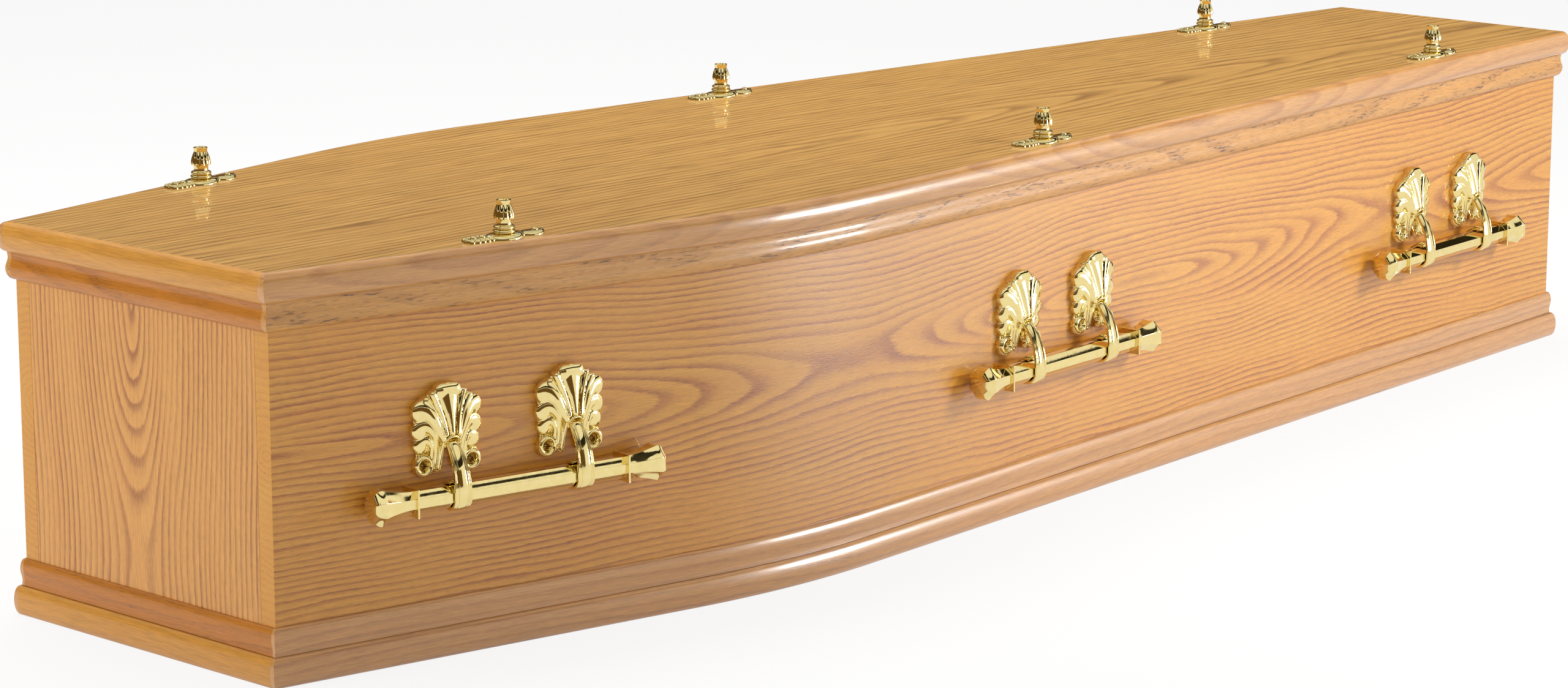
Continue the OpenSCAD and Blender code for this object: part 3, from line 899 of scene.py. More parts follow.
@dataclass
class LeafPlate:
    """The cast leaf that holds a strap: fronds that fan from a hood, and two curls with screws."""
    pole: tuple[float, float] = (0.0, -6.0)
    around: int = 264
    rings: int = 62
    slot_half: float = 6.4
    floor: float = 3.0
    rim: float = 3.4
    round_over: float = 4.6
    curl: tuple[float, float] = (24.0, -30.5)
    curl_r: float = 10.4
    curl_roll: tuple[float, float] = (7.4, 3.1)
    curl_base: float = 3.2
    curl_rise: float = 5.4
    fronds: tuple[Frond, ...] = field(default_factory=lambda: (
        Frond(((0, -3), (0, 14), (0, 29.5)), (3.2, 6.6, 11.6), (17.0, 14.6, 11.4)),
        Frond(((-6, 33), (6, 33)), (7.6, 7.8, 7.6), (11.4, 11.4, 11.4)),
        Frond(((5.6, -4), (8.8, 13), (15.6, 31.6)), (1.7, 2.4, 3.4), (16.4, 13.6, 10.6)),
        Frond(((7.0, -5), (12.2, 11), (21.2, 26.6)), (1.8, 2.5, 4.2), (15.8, 13.0, 10.2)),
        Frond(((7.8, -8), (13.4, 5), (18.6, 14.5), (24.6, 17.2)), (3.4, 6.0, 10.6), (15.2, 13.4, 9.8)),
        Frond(((26.6, 0.4), (21.0, 4.4), (15.2, -3.4), (12.8, -18), (13.4, -33.0)), (9.0, 4.2, 2.8), (8.8, 12.2, 7.6)),
        Frond(((25.4, -13.0), (21.4, -8.0), (17.4, -13.5), (16.8, -25), (17.6, -35.0)), (8.4, 2.8, 2.6),
              (8.0, 10.0, 6.6)),
        Frond(((7.9, -9), (8.5, -22), (9.2, -35.5)), (2.0, 2.2, 3.2), (14.6, 10.4, 7.0)),
    ))

    def outline(self) -> np.ndarray:
        """Distance of the leaf's edge from the pole in each direction, in millimetres."""
        discs = [(*row[:3],) for f in self.fronds for row in f.sampled()]
        discs.append((*self.curl, self.curl_r))
        px, pz = self.pole
        angles = np.abs(np.linspace(-math.pi, math.pi, self.around, endpoint=False))
        reach = np.full(self.around, 6.0)
        for x, z, r in discs:
            dx, dz = x - px, z - pz
            along = dx * np.sin(angles) + dz * np.cos(angles)
            off = dx * np.cos(angles) - dz * np.sin(angles)
            hit = (np.abs(off) < r) & (along > 0)
            far = np.where(hit, along + np.sqrt(np.maximum(0, r * r - off * off)), 0)
            reach = np.maximum(reach, far)
        blur = np.array([1.0, 2.0, 3.0, 4.0, 3.0, 2.0, 1.0]) / 16
        return np.convolve(np.concatenate([reach[-3:], reach, reach[:3]]), blur, "valid")

    def heights(self, x: np.ndarray, z: np.ndarray) -> np.ndarray:
        """Height of the casting over the wall at places on the plate, in millimetres."""
        ax = np.abs(x)
        out = np.full(x.shape, self.rim)
        for frond in self.fronds:
            for fx, fz, w, h in frond.sampled():
                q = np.hypot(ax - fx, z - fz) / w
                h = np.where(q <= 1.0, h, 0.0)
                q = np.minimum(1.0, q)
                out = np.maximum(out, h - self.round_over * (1 - (1 - q ** 2) ** 0.5) * min(1.0, w / 4.0))
        d = np.hypot(ax - self.curl[0], z - self.curl[1])
        roll_r, roll_half = self.curl_roll
        roll = np.sqrt(np.clip(1 - ((d - roll_r) / roll_half) ** 2, 0, 1))
        out = np.where(d < roll_r, self.curl_base + self.curl_rise * roll,
                       np.maximum(out, (self.curl_base + self.curl_rise) * roll))
        top = self.pole[1] - 1.0
        arch = self.slot_half * np.sqrt(np.clip(1 - (np.maximum(0, z - top + 3.5) / 3.5) ** 2, 0, 1))
        inside = np.clip((arch - ax) / 0.8 + 0.5, 0, 1) * (z < top)
        return out * (1 - inside) + self.floor * inside

    def build(self) -> bpy.types.Object:
        """Builds the plate with its back on the wall plane: X along the wall, Y out of it, Z up."""
        reach = self.outline()
        angles = np.linspace(-math.pi, math.pi, self.around, endpoint=False)
        shares = 1 - (1 - np.linspace(0, 1, self.rings)) ** 1.35
        rho = shares[:, None] * reach[None, :]
        x = self.pole[0] + rho * np.sin(angles)
        z = self.pole[1] + rho * np.cos(angles)
        y = self.heights(x, z)
        y[-1] = np.minimum(y[-1], 1.6)
        rows = [np.stack([x[i], y[i], z[i]], 1) for i in range(self.rings)]
        rows.append(np.stack([x[-1], np.zeros(self.around), z[-1]], 1))
        verts = [tuple(float(c) * MM for c in v) for v in np.concatenate(rows)]
        faces = grid_faces(len(rows), self.around)
        faces.append(tuple(range((len(rows) - 1) * self.around, len(rows) * self.around)))
        leaf = mesh_object("leaf_cast", verts, faces, 70, 1e-6)
        return joined("leaf_cast", [leaf, self.lip()])

    def lip(self) -> bpy.types.Object:
        """The rolled lip round the mouth of the hood."""
        path = []
        for i in range(25):
            a = math.pi * (-0.18 + 1.36 * i / 24)
            path.append(Vector((7.0 * math.cos(a), 12.2 + 4.2 * max(0.0, math.sin(a)), -12.0 + 6.6 * math.sin(a))))
        return tube("hood_lip", path, 1.15, 10)


def tube(name: str, path: Sequence[Vector], radius: float, sides: int) -> bpy.types.Object:
    """A round tube along a path in millimetres, with rounded ends.

    Args:
        name: the object's name.
        path: points of the middle line.
        radius: the tube's radius.
        sides: vertices round the tube.

    Returns:
        The tube in metres.
    """
    verts: list[Point] = []
    across = Vector((0, 1, 0))
    for i, p in enumerate(path):
        way = (path[min(i + 1, len(path) - 1)] - path[max(i - 1, 0)]).normalized()
        across = (across - across.dot(way) * way).normalized()
        other = way.cross(across)
        r = radius * (0.45 if i in (0, len(path) - 1) else 1.0)
        for j in range(sides):
            a = 2 * math.pi * j / sides
            verts.append(tuple((p + r * (math.cos(a) * across + math.sin(a) * other)) * MM))
    return mesh_object(name, verts, solid_faces(len(path), sides), 60)


@dataclass
class Strap:
    """A cast strap from the hood down round the bar: a smooth crest between two reeded edges."""
    bar_out: float = 19.0
    drop: float = 56.5
    ring_r: float = 14.3
    thick: float = 3.4
    top_w: float = 11.5
    ring_w: float = 17.4
    arm_top: float = -8.0
    root_out: float = 13.0
    reeds: int = 4
    crest: float = 0.44
    sink: float = 1.35
    wrap: float = 1.62

    def face(self, q: float) -> float:
        """Relief of the strap's outer face at a share of its half-width, in millimetres."""
        q = abs(q)
        if q < self.crest:
            return 0.5 + 0.55 * math.sqrt(max(0.0, 1 - (q / self.crest) ** 2))
        t = (q - self.crest) / (1 - self.crest)
        return (1 - 0.5 * t) * abs(math.sin(math.pi * (t * self.reeds % 1.0))) ** 0.7 - 0.35

    def build(self) -> bpy.types.Object:
        """Builds one strap; X runs across it, Y out of the wall and Z up from the plate's middle."""
        stations: list[tuple[float, float, float, float, float]] = []
        rise = self.arm_top + self.drop
        reach = self.bar_out + self.ring_r - self.root_out
        stations.append((self.root_out - 6.0, self.arm_top + 2.2, 0.2, 0.98, self.top_w))
        for i in range(17):
            a = 0.5 * math.pi * i / 16
            y, z = self.root_out + reach * math.sin(a) ** 1.45, -self.drop + rise * math.cos(a)
            ny, nz = math.sin(a) * rise, 1.45 * math.sin(a) ** 0.45 * math.cos(a) * reach
            n = math.hypot(ny, nz) or 1.0
            ny = ny if i else 1.0
            width = self.top_w + (self.ring_w - self.top_w) * (1 - math.cos(a) ** 1.2) ** 0.8
            stations.append((y, z, ny / n, nz / n, width))
        for i in range(1, 31):
            a = -self.wrap * math.pi * i / 30
            stations.append((self.bar_out + self.ring_r * math.cos(a), -self.drop + self.ring_r * math.sin(a),
                             math.cos(a), math.sin(a), self.ring_w))
        across = np.linspace(-1, 1, 61)
        verts: list[Point] = []
        for index, (y, z, ny, nz, width) in enumerate(stations):
            thick = self.thick + (1.2 * (1 - index / 17) if index < 17 else 0.0)
            for q in across:
                lift = self.face(float(q)) - self.sink
                verts.append((0.5 * width * q * MM, (y + ny * lift) * MM, (z + nz * lift) * MM))
            for q in (1.0, -1.0):
                verts.append((0.5 * width * q * MM, (y - ny * thick) * MM, (z - nz * thick) * MM))
        return mesh_object("strap_cast", verts, solid_faces(len(stations), len(across) + 2), 50)


@dataclass
class GripBar:
    """The eight-sided bar with a flange, a hollow-sided trumpet and a shallow dome at each end."""
    length: float = 302.0
    across: float = 21.0
    cap_len: float = 43.0
    cap_d: float = 34.5
    flange_w: float = 25.5
    flange_t: float = 2.0
    dome: float = 9.0
    swell: float = 0.018
    arris: float = 0.9
    sharp_deg: float = 24.0
    per_side: int = 6

    def ring(self, x: float, r: float, cut: float = 0.0, square: float = 0.0) -> list[Point]:
        """An eight-sided section at x with corners of radius r, or a square one of a given half-width.

        Args:
            x: its place along the bar.
            r: radius of its eight corners.
            cut: swells its flats, or hollows them where negative.
            square: half-width of a square section, or 0 for eight sides.

        Returns:
            The section's points, always as many.
        """
        pts = []
        for k in range(8):
            a0, a1 = math.radians(22.5 + 45 * k), math.radians(22.5 + 45 * (k + 1))
            p0, p1 = Vector((math.cos(a0), math.sin(a0))) * r, Vector((math.cos(a1), math.sin(a1))) * r
            for j in range(self.per_side):
                t = j / self.per_side
                p = p0.lerp(p1, t)
                p *= square / max(abs(p.x), abs(p.y)) if square else 1 + cut * (1 - (2 * t - 1) ** 2)
                pts.append((x * MM, p.x * MM, p.y * MM))
        return pts

    def build(self) -> bpy.types.Object:
        """Builds the bar along X with its axis at the origin."""
        half = self.length / 2
        tube_end = half - self.cap_len
        neck = self.across / 2 + 0.5
        flare = self.cap_len - self.flange_t - self.dome
        edge, w = tube_end + self.flange_t, self.flange_w / 2
        end: list[tuple[float, ...]] = [
            (tube_end - 1.0, self.across / 2, self.swell), (tube_end, self.across / 2, self.swell),
            (tube_end, w, 0, w - 0.3), (tube_end + 0.3, w, 0, w),
            (edge - 0.3, w, 0, w), (edge, w, 0, w - 0.3), (edge, neck + 0.3, 0)]
        for i in range(1, 13):
            q = i / 12
            end.append((edge + flare * q, neck + (self.cap_d / 2 - neck) * q ** 1.8, 0.02 - 0.05 * q))
        for i in range(1, 9):
            a = 0.5 * math.pi * i / 8
            end.append((half - self.dome * (1 - math.sin(a)) ** 1.15,
                        self.cap_d / 2 * max(math.cos(a), 0.02) ** 0.85, -0.03 * math.cos(a)))
        sections = [(-row[0], *row[1:]) for row in reversed(end)] + end
        rings = [self.ring(*row) for row in sections]
        verts = [v for r in rings for v in r]
        bar = mesh_object("bar_cast", verts, solid_faces(len(rings), len(rings[0])), self.sharp_deg)
        return bevelled(bar, self.arris, self.sharp_deg, 3)


@dataclass
class Handles:
    """All six bar handles: twelve leaf plates, their screws, twelve straps and six bars."""
    plan: Plan
    brass: bpy.types.Material
    screw_metal: bpy.types.Material
    repeat: RepeatTree
    plate_gap: float = 127.0
    bar_out: float = 19.0
    bar_drop: float = 56.5
    screw_out: float = 3.6

    def seat(self, place: Place, side: Side) -> Matrix:
        """Matrix from a handle's own axes to the coffin: X along the wall, Y out, Z up from the bar's axis."""
        lo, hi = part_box(f"bar_{place.value}_{side.word}")
        mid = (lo + hi) / 2
        turn = self.plan.slope_at(mid.x)
        right = Matrix.Rotation(turn, 4, "Z") @ Matrix.Translation((0, -self.bar_out * MM, 0))
        mirror = Matrix.Scale(side.value, 4, (0, 1, 0))
        return mirror @ Matrix.Translation((mid.x, abs(mid.y), mid.z)) @ right

    def make(self) -> None:
        """Builds every handle."""
        plate = LeafPlate()
        leaf, strap, bar = plate.build(), Strap(self.bar_out, self.bar_drop).build(), GripBar().build()
        head = cross_head(radius=4.1, dome=1.1, slot=0.75)
        screws: list[tuple[Vector, Sequence[float], Sequence[float]]] = []
        for place in Place:
            for side in Side:
                seat = self.seat(place, side)
                at = f"{place.value}_{side.word}"
                straps = []
                for k, letter in ((-0.5, "a"), (0.5, "b")):
                    middle = seat @ Matrix.Translation((k * self.plate_gap * MM, 0, self.bar_drop * MM))
                    node = f"leaf_plate_{at}_{letter}"
                    hand_over(copied(leaf, f"{node}_brass", middle), self.brass, "handle_metal", node)
                    straps.append(copied(strap, f"strap_{letter}", middle))
                    for s in (-1, 1):
                        spot = middle @ Vector((s * plate.curl[0] * MM, self.screw_out * MM, plate.curl[1] * MM))
                        out = (middle.to_3x3() @ Vector((0, 1, 0))).normalized()
                        spin = out.to_track_quat("Z", "Y").to_euler()
                        screws.append((spot, tuple(spin), (1.0, 1.0, 1.0)))
                pair = joined(f"straps_{at}_brass", straps)
                hand_over(shade(pair, 50), self.brass, "handle_metal", f"straps_{at}")
                on_axis = seat @ Matrix.Translation((0, self.bar_out * MM, 0))
                hand_over(copied(bar, f"bar_{at}_brass", on_axis), self.brass, "handle_metal", f"bar_{at}")
        hand_over(shade(self.repeat.run("plate_screws", head, screws, self.screw_metal), 30), self.screw_metal,
                  "handle_metal")
        for spare in (leaf, strap, bar, head):
            bpy.data.objects.remove(spare)


# ---------------------------------------------------------------- lid screws
@dataclass
class Escutcheon:
    """The lid screw's plate: a domed oval middle, a beaded arm to the head and a smooth paddle to the foot."""
    length: float = 86.0
    boss: tuple[float, float] = (19.0, 13.6)
    boss_h: float = 4.5
    thick: float = 2.9
    paddle: tuple[float, float] = (13.0, 9.2)
    beads: int = 5
    bead_r: float = 3.1

    def half_width(self, x: float) -> float:
        """Half the plate's width at x, in millimetres."""
        half = self.length / 2
        waist = 4.6
        boss = self.boss[1] * math.sqrt(max(0.0, 1 - (x / self.boss[0]) ** 2)) ** 0.9
        if x > 0:
            mid = half - self.paddle[0]
            pad = self.paddle[1] * math.sqrt(max(0.0, 1 - ((x - mid) / self.paddle[0]) ** 2))
            arm = waist + 0.8 * math.cos((x - 18) * 0.35) if x < mid else 0.0
        else:
            tip = 8.5
            pad = 6.4 * math.sqrt(max(0.0, 1 - ((x + half - tip) / tip) ** 2))
            arm = 5.6 if x > tip - half else 0.0
        return max(boss, pad, arm, 0.05)

    def lift(self, x: float, t: float) -> float:
        """Height of the plate at x and at a share of its half-width, in millimetres."""
        flat = self.thick * (1 - abs(t) ** 6) ** 0.5
        crown = 1 - t * t
        w = self.half_width(x)
        q = math.hypot(x / self.boss[0], t * w / self.boss[1])
        dome = (self.boss_h - self.thick) * math.sqrt(max(0.0, 1 - min(1.0, q) ** 2.2))
        return flat + crown * 0.6 * (1 - max(0.0, 1 - q)) + dome

    def build(self, repeat: RepeatTree, brass: bpy.types.Material) -> bpy.types.Object:
        """Builds the plate with its beads and dome-headed screws, flat on Z = 0."""
        half = self.length / 2
        xs = [half * math.sin(math.pi * (i / 110 - 0.5)) for i in range(111)]
        ts = [math.sin(math.pi * (j / 26 - 0.5)) for j in range(27)]
        verts: list[Point] = []
        for x in xs:
            w = self.half_width(x)
            verts += [(x * MM, t * w * MM, self.lift(x, t) * MM) for t in ts]
            verts += [(x * MM, w * MM, 0.0), (x * MM, -w * MM, 0.0)]
        plate = mesh_object("escutcheon_cast", verts, solid_faces(len(xs), len(ts) + 2), 55, 2e-6)
        bead = lathe("bead", [(0.0, -1.0), (1.0, -0.7), (1.0, 0.0), (0.94, 0.35), (0.77, 0.64), (0.5, 0.87),
                              (0.0, 1.0)], 18, 60)
        rows: list[tuple[Vector, Sequence[float], Sequence[float]]] = []
        for i in range(self.beads):
            x = -half + self.bead_r + 1.0 + i * 1.72 * self.bead_r
            off = (5.2, 6.6, 6.9, 6.3, 5.4)[i]
            for s in (-1, 1):
                rows.append((Vector((x, s * off, 0.55)) * MM, (0, 0, 0), (self.bead_r, self.bead_r, self.thick + 0.6)))
        rows.append((Vector((-half + 2.4, 0, 0.55)) * MM, (0, 0, 0), (self.bead_r, self.bead_r, self.thick + 0.4)))
        beads = repeat.run("beads", bead, rows, brass)
        pin = lathe("pin", [(0.0, -0.9), (2.9, -0.6), (2.9, 0.2), (2.7, 0.9), (2.1, 1.5), (1.2, 1.9),
                            (0.0, 2.1)], 24, 60)
        spots = [(Vector((x, y, self.thick + 0.6)) * MM, (0, 0, 0), (1, 1, 1)) for x, y in
                 ((-half + 9.5, 0.0), (-half + 19.0, 0.0), (half - 9.0, 0.0))]
        pins = repeat.run("pins", pin, spots, brass)
        for spare in (bead, pin):
            bpy.data.objects.remove(spare)
        return shade(joined("escutcheon_cast", [plate, beads, pins]), 50)


@dataclass
class BudScrew:
    """The lid screw itself: two rolled collars, a plain neck and a fluted bud with a banded flat top."""
    bud_d: float = 19.0
    height: float = 29.0
    flutes: int = 12

    @property
    def roll(self) -> float:
        """Radius of a rolled collar's edge."""
        return 0.09 * self.bud_d

    @property
    def bud_foot(self) -> float:
        """Height of the bud's foot."""
        return 4 * self.roll + 0.31 * self.bud_d

    @property
    def band_foot(self) -> float:
        """Height of the band round the bud's top."""
        return self.height - 0.2 * self.bud_d

    def outline(self) -> list[tuple[float, float]]:
        """Radius and height of the turning, in millimetres."""
        roll, collar = self.roll, 0.53 * self.bud_d
        pts = [(collar - 2.6, 0.0)]
        for k in (0, 1):
            for i in range(9):
                a = math.radians(-80 + 160 * i / 8)
                pts.append((collar - roll - 0.5 * k + roll * math.cos(a), roll * (1 + 2 * k + math.sin(a))))
            pts.append((collar - 2.3 - 0.5 * k, 2 * roll * (k + 1)))
        neck, bud, band = 4 * roll + 0.2, self.bud_foot, self.band_foot
        pts += [(0.375 * self.bud_d, neck), (0.36 * self.bud_d, neck + 0.6), (0.36 * self.bud_d, bud - 0.8),
                (0.375 * self.bud_d, bud - 0.2), (0.45 * self.bud_d, bud)]
        for i in range(15):
            q = i / 14
            swell = 0.5 * self.bud_d * (1 - 0.36 * q ** 1.9)
            pts.append((swell * (0.97 if i == 0 else 1.0), bud + 0.3 + (band - bud - 0.3) * q))
        pts += [(0.335 * self.bud_d, band + 0.3), (0.345 * self.bud_d, self.height - 1.0),
                (0.355 * self.bud_d, self.height - 0.2), (0.335 * self.bud_d, self.height),
                (0.30 * self.bud_d, self.height - 0.1), (0.28 * self.bud_d, self.height - 0.7),
                (0.0, self.height - 0.9)]
        return pts

    def build(self) -> bpy.types.Object:
        """Builds the screw standing on Z = 0."""
        bud, band = self.bud_foot, self.band_foot

        def flute(z: float, a: float) -> float:
            """Rounded ribs between the bud's foot and its band."""
            if not bud < z < band:
                return 1.0
            fade = min(1.0, (z - bud) / 1.2, (band - z) / 2.5)
            return 1 + 0.085 * fade * (abs(math.cos(0.5 * self.flutes * a)) ** 0.75 - 1)
        return lathe("bud_cast", self.outline(), 144, 42, flute)


@dataclass
class LidScrews:
    """The six lid screws with their escutcheons, each turned half-way to the wall beside it."""
    plan: Plan
    brass: bpy.types.Material
    repeat: RepeatTree
    follow: float = 0.5

    def make(self) -> None:
        """Builds and places all six."""
        plate, bud = Escutcheon().build(self.repeat, self.brass), BudScrew().build()
        for place in Place:
            for side in Side:
                at = f"{place.value}_{side.word}"
                lo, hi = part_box(f"lid_screw_{at}")
                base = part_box(f"escutcheon_{at}")[0].z
                spot = Vector(((lo.x + hi.x) / 2, abs(lo.y + hi.y) / 2, base))
                mirror = Matrix.Scale(side.value, 4, (0, 1, 0))
                turn = Matrix.Rotation(self.follow * self.plan.slope_at(spot.x), 4, "Z")
                hand_over(copied(plate, f"escutcheon_{at}_brass", mirror @ Matrix.Translation(spot) @ turn),
                          self.brass, "screw_metal", f"escutcheon_{at}")
                spot = Vector(((lo.x + hi.x) / 2, (lo.y + hi.y) / 2, lo.z))
                hand_over(copied(bud, f"lid_screw_{at}_brass", Matrix.Translation(spot)), self.brass,
                          "screw_metal", f"lid_screw_{at}")
        for spare in (plate, bud):
            bpy.data.objects.remove(spare)


# ---------------------------------------------------------------- studio
@dataclass(frozen=True)
class Lamp:
    """A soft rectangular lamp.

    It stands `at` a place and points at `aim`, with two sides of `size` metres. `shows` says whether gloss sees
    it, `lights` whether it gives plain light or only a sheen, and `spread_deg` how wide its beam is.
    """
    name: str
    at: Point
    aim: Point
    size: tuple[float, float]
    watts: float
    shows: bool = False
    lights: bool = True
    spread_deg: float = 180.0

    def make(self) -> None:
        """Adds the lamp to the scene."""
        data = bpy.data.lights.new(self.name, "AREA")
        data.shape = "RECTANGLE"
        data.size, data.size_y = self.size
        data.energy = self.watts
        data.spread = math.radians(self.spread_deg)
        lamp = link(bpy.data.objects.new(self.name, data))
        lamp.location = self.at
        lamp.visible_glossy = self.shows
        lamp.visible_diffuse = self.lights
        lamp.rotation_euler = (Vector(self.aim) - Vector(self.at)).to_track_quat("-Z", "Y").to_euler()


@dataclass
class Studio:
    """Camera, lamps, white surround, floor and the dark cards that give the metal its depth."""
    eye: Point = (-3.3020, -2.9131, 1.0554)
    yaw_deg: float = 47.1
    down_deg: float = 11.99
    lens: float = 100.16
    ambient: float = 0.50
    floor_size: float = 14.0
    wall_r: float = 7.0
    wall_sides: int = 48
    brown: str = "#6b5230"
    dark: str = "#2a261c"
    key: Lamp = Lamp("key", at=(2.3, -2.5, 2.1), aim=(0.15, 0, 0.35), size=(0.8, 0.8), watts=15.5, spread_deg=76.0)
    others: tuple[Lamp, ...] = (
        Lamp("sheen", at=(1.7, -2.25, 0.36), aim=(-0.4, -0.2, 0.2), size=(0.9, 0.6), watts=62.0, shows=True,
             lights=False),
        Lamp("end_fill", at=(-3.4, 0.9, 1.5), aim=(-0.9, 0, 0.2), size=(1.2, 1.4), watts=27.0),
        Lamp("top", at=(0.2, 0.8, 2.9), aim=(0.0, 0, 0.3), size=(2.6, 1.4), watts=58.0),
    )

    def camera(self) -> None:
        """Sets the camera at the fitted viewpoint, with no lens shift."""
        data = bpy.data.cameras.new("camera")
        data.sensor_fit = "HORIZONTAL"
        data.sensor_width = 36.0
        data.lens = self.lens
        data.clip_start, data.clip_end = 0.1, 60.0
        cam = link(bpy.data.objects.new("camera", data))
        yaw, down = math.radians(self.yaw_deg), math.radians(self.down_deg)
        way = Vector((math.cos(down) * math.sin(yaw), math.cos(down) * math.cos(yaw), -math.sin(down)))
        cam.location = self.eye
        cam.rotation_euler = way.to_track_quat("-Z", "Y").to_euler()
        bpy.context.scene.camera = cam

    def world(self) -> None:
        """A white surround for what is seen directly or in gloss, and a softer one for plain light."""
        world = bpy.data.worlds.new("surround")
        bpy.context.scene.world = world
        world.use_nodes = True
        tree = world.node_tree
        tree.nodes.clear()
        path = add_node(tree, "ShaderNodeLightPath")
        seen = add_node(tree, "ShaderNodeMath",
                        {0: path.outputs["Is Camera Ray"], 1: path.outputs["Is Glossy Ray"]}, operation="MAXIMUM")
        clear = add_node(tree, "ShaderNodeMath", {0: seen.outputs[0], 1: path.outputs["Is Transmission Ray"]},
                         operation="MAXIMUM")
        power = add_node(tree, "ShaderNodeMapRange", {0: clear.outputs[0], 1: 0.0, 2: 1.0, 3: self.ambient, 4: 1.0})
        back = add_node(tree, "ShaderNodeBackground", {"Color": (1, 1, 1, 1), "Strength": power.outputs[0]})
        add_node(tree, "ShaderNodeOutputWorld", {"Surface": back.outputs[0]})

    def floor(self) -> None:
        """A plain pale floor that stays white to the eye but keeps a faint shadow."""
        s = self.floor_size
        obj = mesh_plane("floor", [(-s, -s, 0), (s, -s, 0), (s, s, 0), (-s, s, 0)])
        mat = bpy.data.materials.new("studio_floor_paper")
        mat.use_nodes = True
        tree = mat.node_tree
        tree.nodes.clear()
        path = add_node(tree, "ShaderNodeLightPath")
        seen = add_node(tree, "ShaderNodeMath",
                        {0: path.outputs["Is Camera Ray"], 1: path.outputs["Is Glossy Ray"]}, operation="MAXIMUM")
        share = add_node(tree, "ShaderNodeMath", {0: seen.outputs[0], 1: 0.86}, operation="MULTIPLY")
        paper = add_node(tree, "ShaderNodeBsdfDiffuse", {"Color": hex_colour("#f4f4f2")})
        glow = add_node(tree, "ShaderNodeEmission", {"Color": (1, 1, 1, 1), "Strength": 1.0})
        mix = add_node(tree, "ShaderNodeMixShader", {0: share.outputs[0], 1: paper.outputs[0], 2: glow.outputs[0]})
        add_node(tree, "ShaderNodeOutputMaterial", {"Surface": mix.outputs[0]})
        obj.data.materials.append(mat)

    def flag(self, lamp: Point, shaded: Point, half_wide: float, half_high: float) -> None:
        """Hangs an unseen flag half-way along a lamp's beam, for a soft darker corner.

        Args:
            lamp: where the lamp stands.
            shaded: the middle of the corner that it darkens.
            half_wide: half its width in metres.
            half_high: half its height in metres.
        """
        way = (Vector(shaded) - Vector(lamp)).normalized()
        across = way.cross(Vector((0, 0, 1))).normalized()
        up = across.cross(way).normalized() * half_high
        across *= half_wide
        mid = (Vector(lamp) + Vector(shaded)) / 2
        corners = [tuple(mid + a * across + b * up) for a, b in ((-1, -1), (1, -1), (1, 1), (-1, 1))]
        flag = mesh_plane("key_flag", corners)
        flag.visible_camera = False
        flag.visible_glossy = False
        flag.visible_diffuse = False

    def card(self, name: str, obj: bpy.types.Object, tone: str) -> None:
        """Makes a shape a card that only gloss sees, as the unlit parts of a studio are.

        Args:
            name: its material's name.
            obj: the shape.
            tone: its colour as seen in gloss.
        """
        mat = bpy.data.materials.new(name)
        mat.use_nodes = True
        mat.node_tree.nodes.clear()
        glow = add_node(mat.node_tree, "ShaderNodeEmission", {"Color": hex_colour(tone), "Strength": 1.0})
        add_node(mat.node_tree, "ShaderNodeOutputMaterial", {"Surface": glow.outputs[0]})
        obj.data.materials.append(mat)
        obj.visible_camera = False
        obj.visible_diffuse = False
        obj.visible_shadow = False

    def cards(self) -> None:
        """A brown low wall, a dark band above it and dark ceiling strips, with bright gaps between."""
        z = 3.4
        for index, (y0, y1) in enumerate(((-1.85, -1.4), (0.2, 0.9))):
            strip = mesh_plane(f"ceiling_card_{index}", [(-4, y0, z), (4, y0, z), (4, y1, z), (-4, y1, z)])
            self.card("black_ceiling_card", strip, self.dark)
        r, n = self.wall_r, self.wall_sides
        around = [(r * math.cos(2 * math.pi * i / n), r * math.sin(2 * math.pi * i / n)) for i in range(n)]
        gap = range(37, 47)  # an open side in front, which lights the handles' upright faces
        for name, low, high, tone, left_out in (("brown_wall", 0.002, 2.6, self.brown, gap),
                                                ("dark_band", 2.9, 4.6, self.dark, range(0))):
            verts = [(x, y, h) for h in (low, high) for x, y in around]
            faces = [(i, (i + 1) % n, n + (i + 1) % n, n + i) for i in range(n) if i not in left_out]
            mesh = bpy.data.meshes.new(name)
            mesh.from_pydata(verts, [], faces)
            self.card(f"{name}_card", link(bpy.data.objects.new(name, mesh)), tone)

    def make(self) -> None:
        """Sets up the whole studio."""
        bpy.context.scene.view_settings.view_transform = "Standard"
        self.camera()
        self.world()
        self.floor()
        self.cards()
        self.key.make()
        self.flag(self.key.at, shaded=(-1.4, -0.2, -0.14), half_wide=0.3, half_high=0.22)
        for lamp in self.others:
            lamp.make()


def mesh_plane(name: str, corners: Sequence[Point]) -> bpy.types.Object:
    """A single flat face for the studio."""
    mesh = bpy.data.meshes.new(name)
    mesh.from_pydata(list(corners), [], [tuple(range(len(corners)))])
    return link(bpy.data.objects.new(name, mesh))


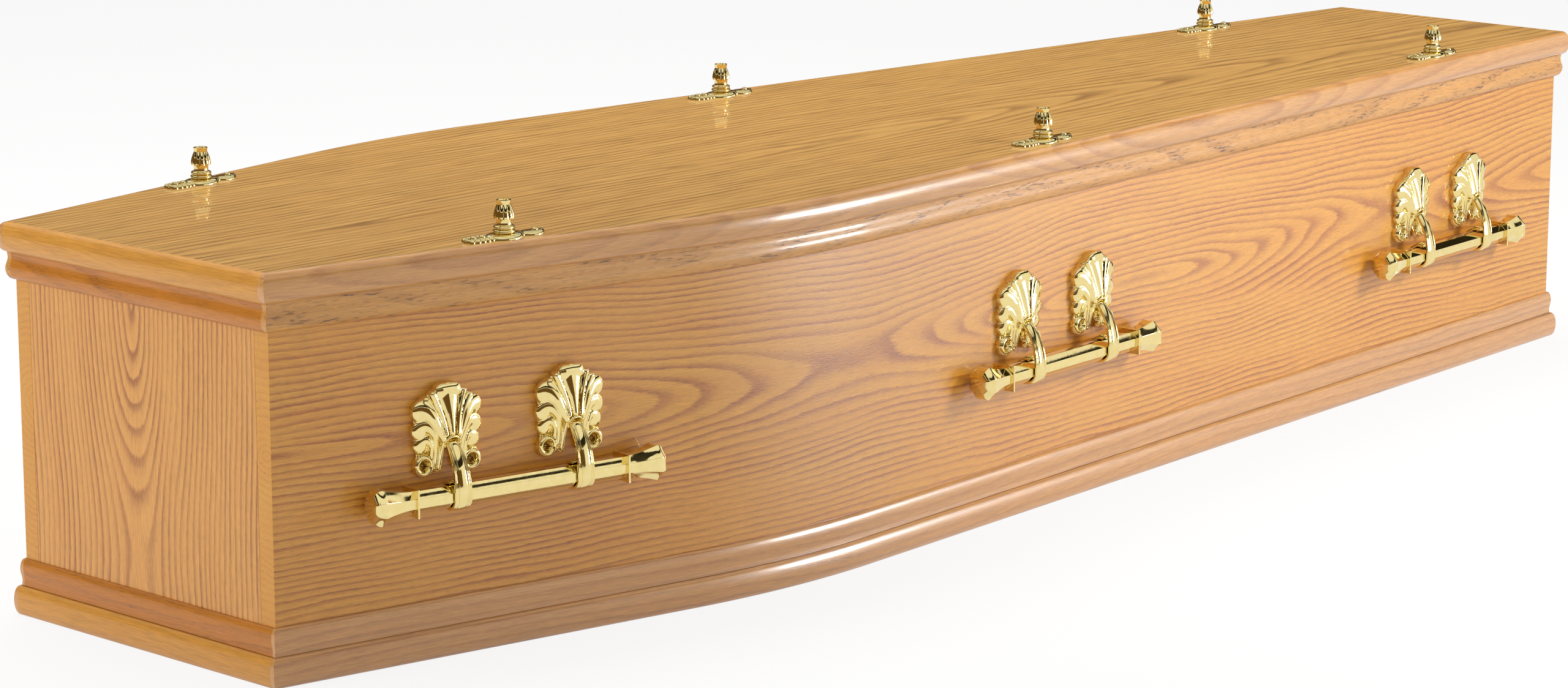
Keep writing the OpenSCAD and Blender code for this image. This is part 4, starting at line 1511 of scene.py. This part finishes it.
# ---------------------------------------------------------------- finishes of this coffin
def oak_finishes() -> dict[str, bpy.types.Material]:
    """Builds each oak finish once.

    Returns:
        Material by the use it has on the coffin.
    """
    kinds = {
        "panel": OakFinish("crown_cut_oak_veneer_sides", "#dea23f", "#9f5018", "#d68d30"),
        "lid": OakFinish("straight_oak_veneer_lid", "#e6b465", "#825222", "#d0984b", figure_at=(-560.0, -60.0),
                         dip_len=1500.0, pith_deep=75.0, pith_near=6.0, ring=10.0, wander=15.0, contrast=0.75,
                         pore_depth=0.6, pore_size=(40.0, 2.4), gloss=0.36, coat=0.6, coat_gloss=0.04, fibre=0.3,
                         streak=3.5, bump=0.06),
        "end": OakFinish("crown_cut_oak_veneer_ends", "#e3a552", "#a65f24", "#dc9847", figure_at=(335.0, -10.0),
                         dip_len=255.0, pith_deep=46.0, pith_near=3.0, ring=6.4, wander=8.0, ragged=0.8, contrast=0.95),
        "round": OakFinish("smooth_oak_moulding", "#d69d5a", "#a86a35", "#cc8f4a", figure_at=(700.0, 320.0),
                           dip_len=500.0, pith_deep=60.0, pith_near=20.0, ring=9.0, contrast=0.55, pore_depth=0.25,
                           gloss=0.3, coat=0.9, coat_gloss=0.16),
        "round_end": OakFinish("pale_gold_oak_moulding", "#da9a3c", "#b97628", "#d08f34", figure_at=(700.0, 300.0),
                               dip_len=500.0, pith_deep=60.0, pith_near=30.0, ring=9.0, contrast=0.3, pore_depth=0.15),
        "ogee": OakFinish("open_pored_oak_moulding", "#d99d51", "#8a5526", "#cb8f42", figure_at=(900.0, 290.0),
                          dip_len=500.0, pith_deep=50.0, pith_near=30.0, ring=12.0, contrast=0.35, pore_depth=1.0,
                          pore_size=(11.0, 1.9), bump=0.6, fibre=0.2),
        "ogee_end": OakFinish("deep_gold_oak_moulding", "#c97d1c", "#8a4c12", "#bc7218", figure_at=(900.0, 290.0),
                              dip_len=500.0, pith_deep=50.0, pith_near=30.0, ring=12.0, contrast=0.35, pore_depth=0.5,
                              pore_size=(8.0, 1.1)),
    }
    return {use: kind.build() for use, kind in kinds.items()}


def main() -> None:
    """Builds the coffin and its studio, piece by piece."""
    logging.basicConfig(level=logging.INFO, format="%(name)s %(message)s")
    plan = Plan.from_frame()
    oak = oak_finishes()
    brass = BrassFinish("electro_brassed_casting").build()
    screw_metal = BrassFinish("bronzed_steel_screw", colour="#a5813f", tarnish="#7d5f2c", rough=0.22,
                              rough_spread=0.1).build()
    repeat = RepeatTree("repeat_on_points")
    Studio().make()
    BodyBoards(plan, oak["panel"], oak["lid"], oak["end"]).make()
    for kind, curve, stand_out, side_finish, end_finish, seed in (
            ("lid_round", half_round(thick=8.5), 4.0, "round", "round_end", 0.2),
            ("top_mould", lipped(lip=7.0, neck=5.0, upright=True), 0.0, "ogee", "ogee_end", 0.5),
            ("base_mould", lipped(lip=4.5, neck=3.2, upright=False), 0.0, "round", "ogee_end", 0.8),
            ("base_round", half_round(thick=5.5), 4.0, "round", "round_end", 1.1)):
        Moulding(plan, kind, curve, stand_out, oak[side_finish], oak[end_finish], seed).make()
    Handles(plan, brass, screw_metal, repeat).make()
    LidScrews(plan, brass, repeat).make()


if __name__ == "__main__":
    main()
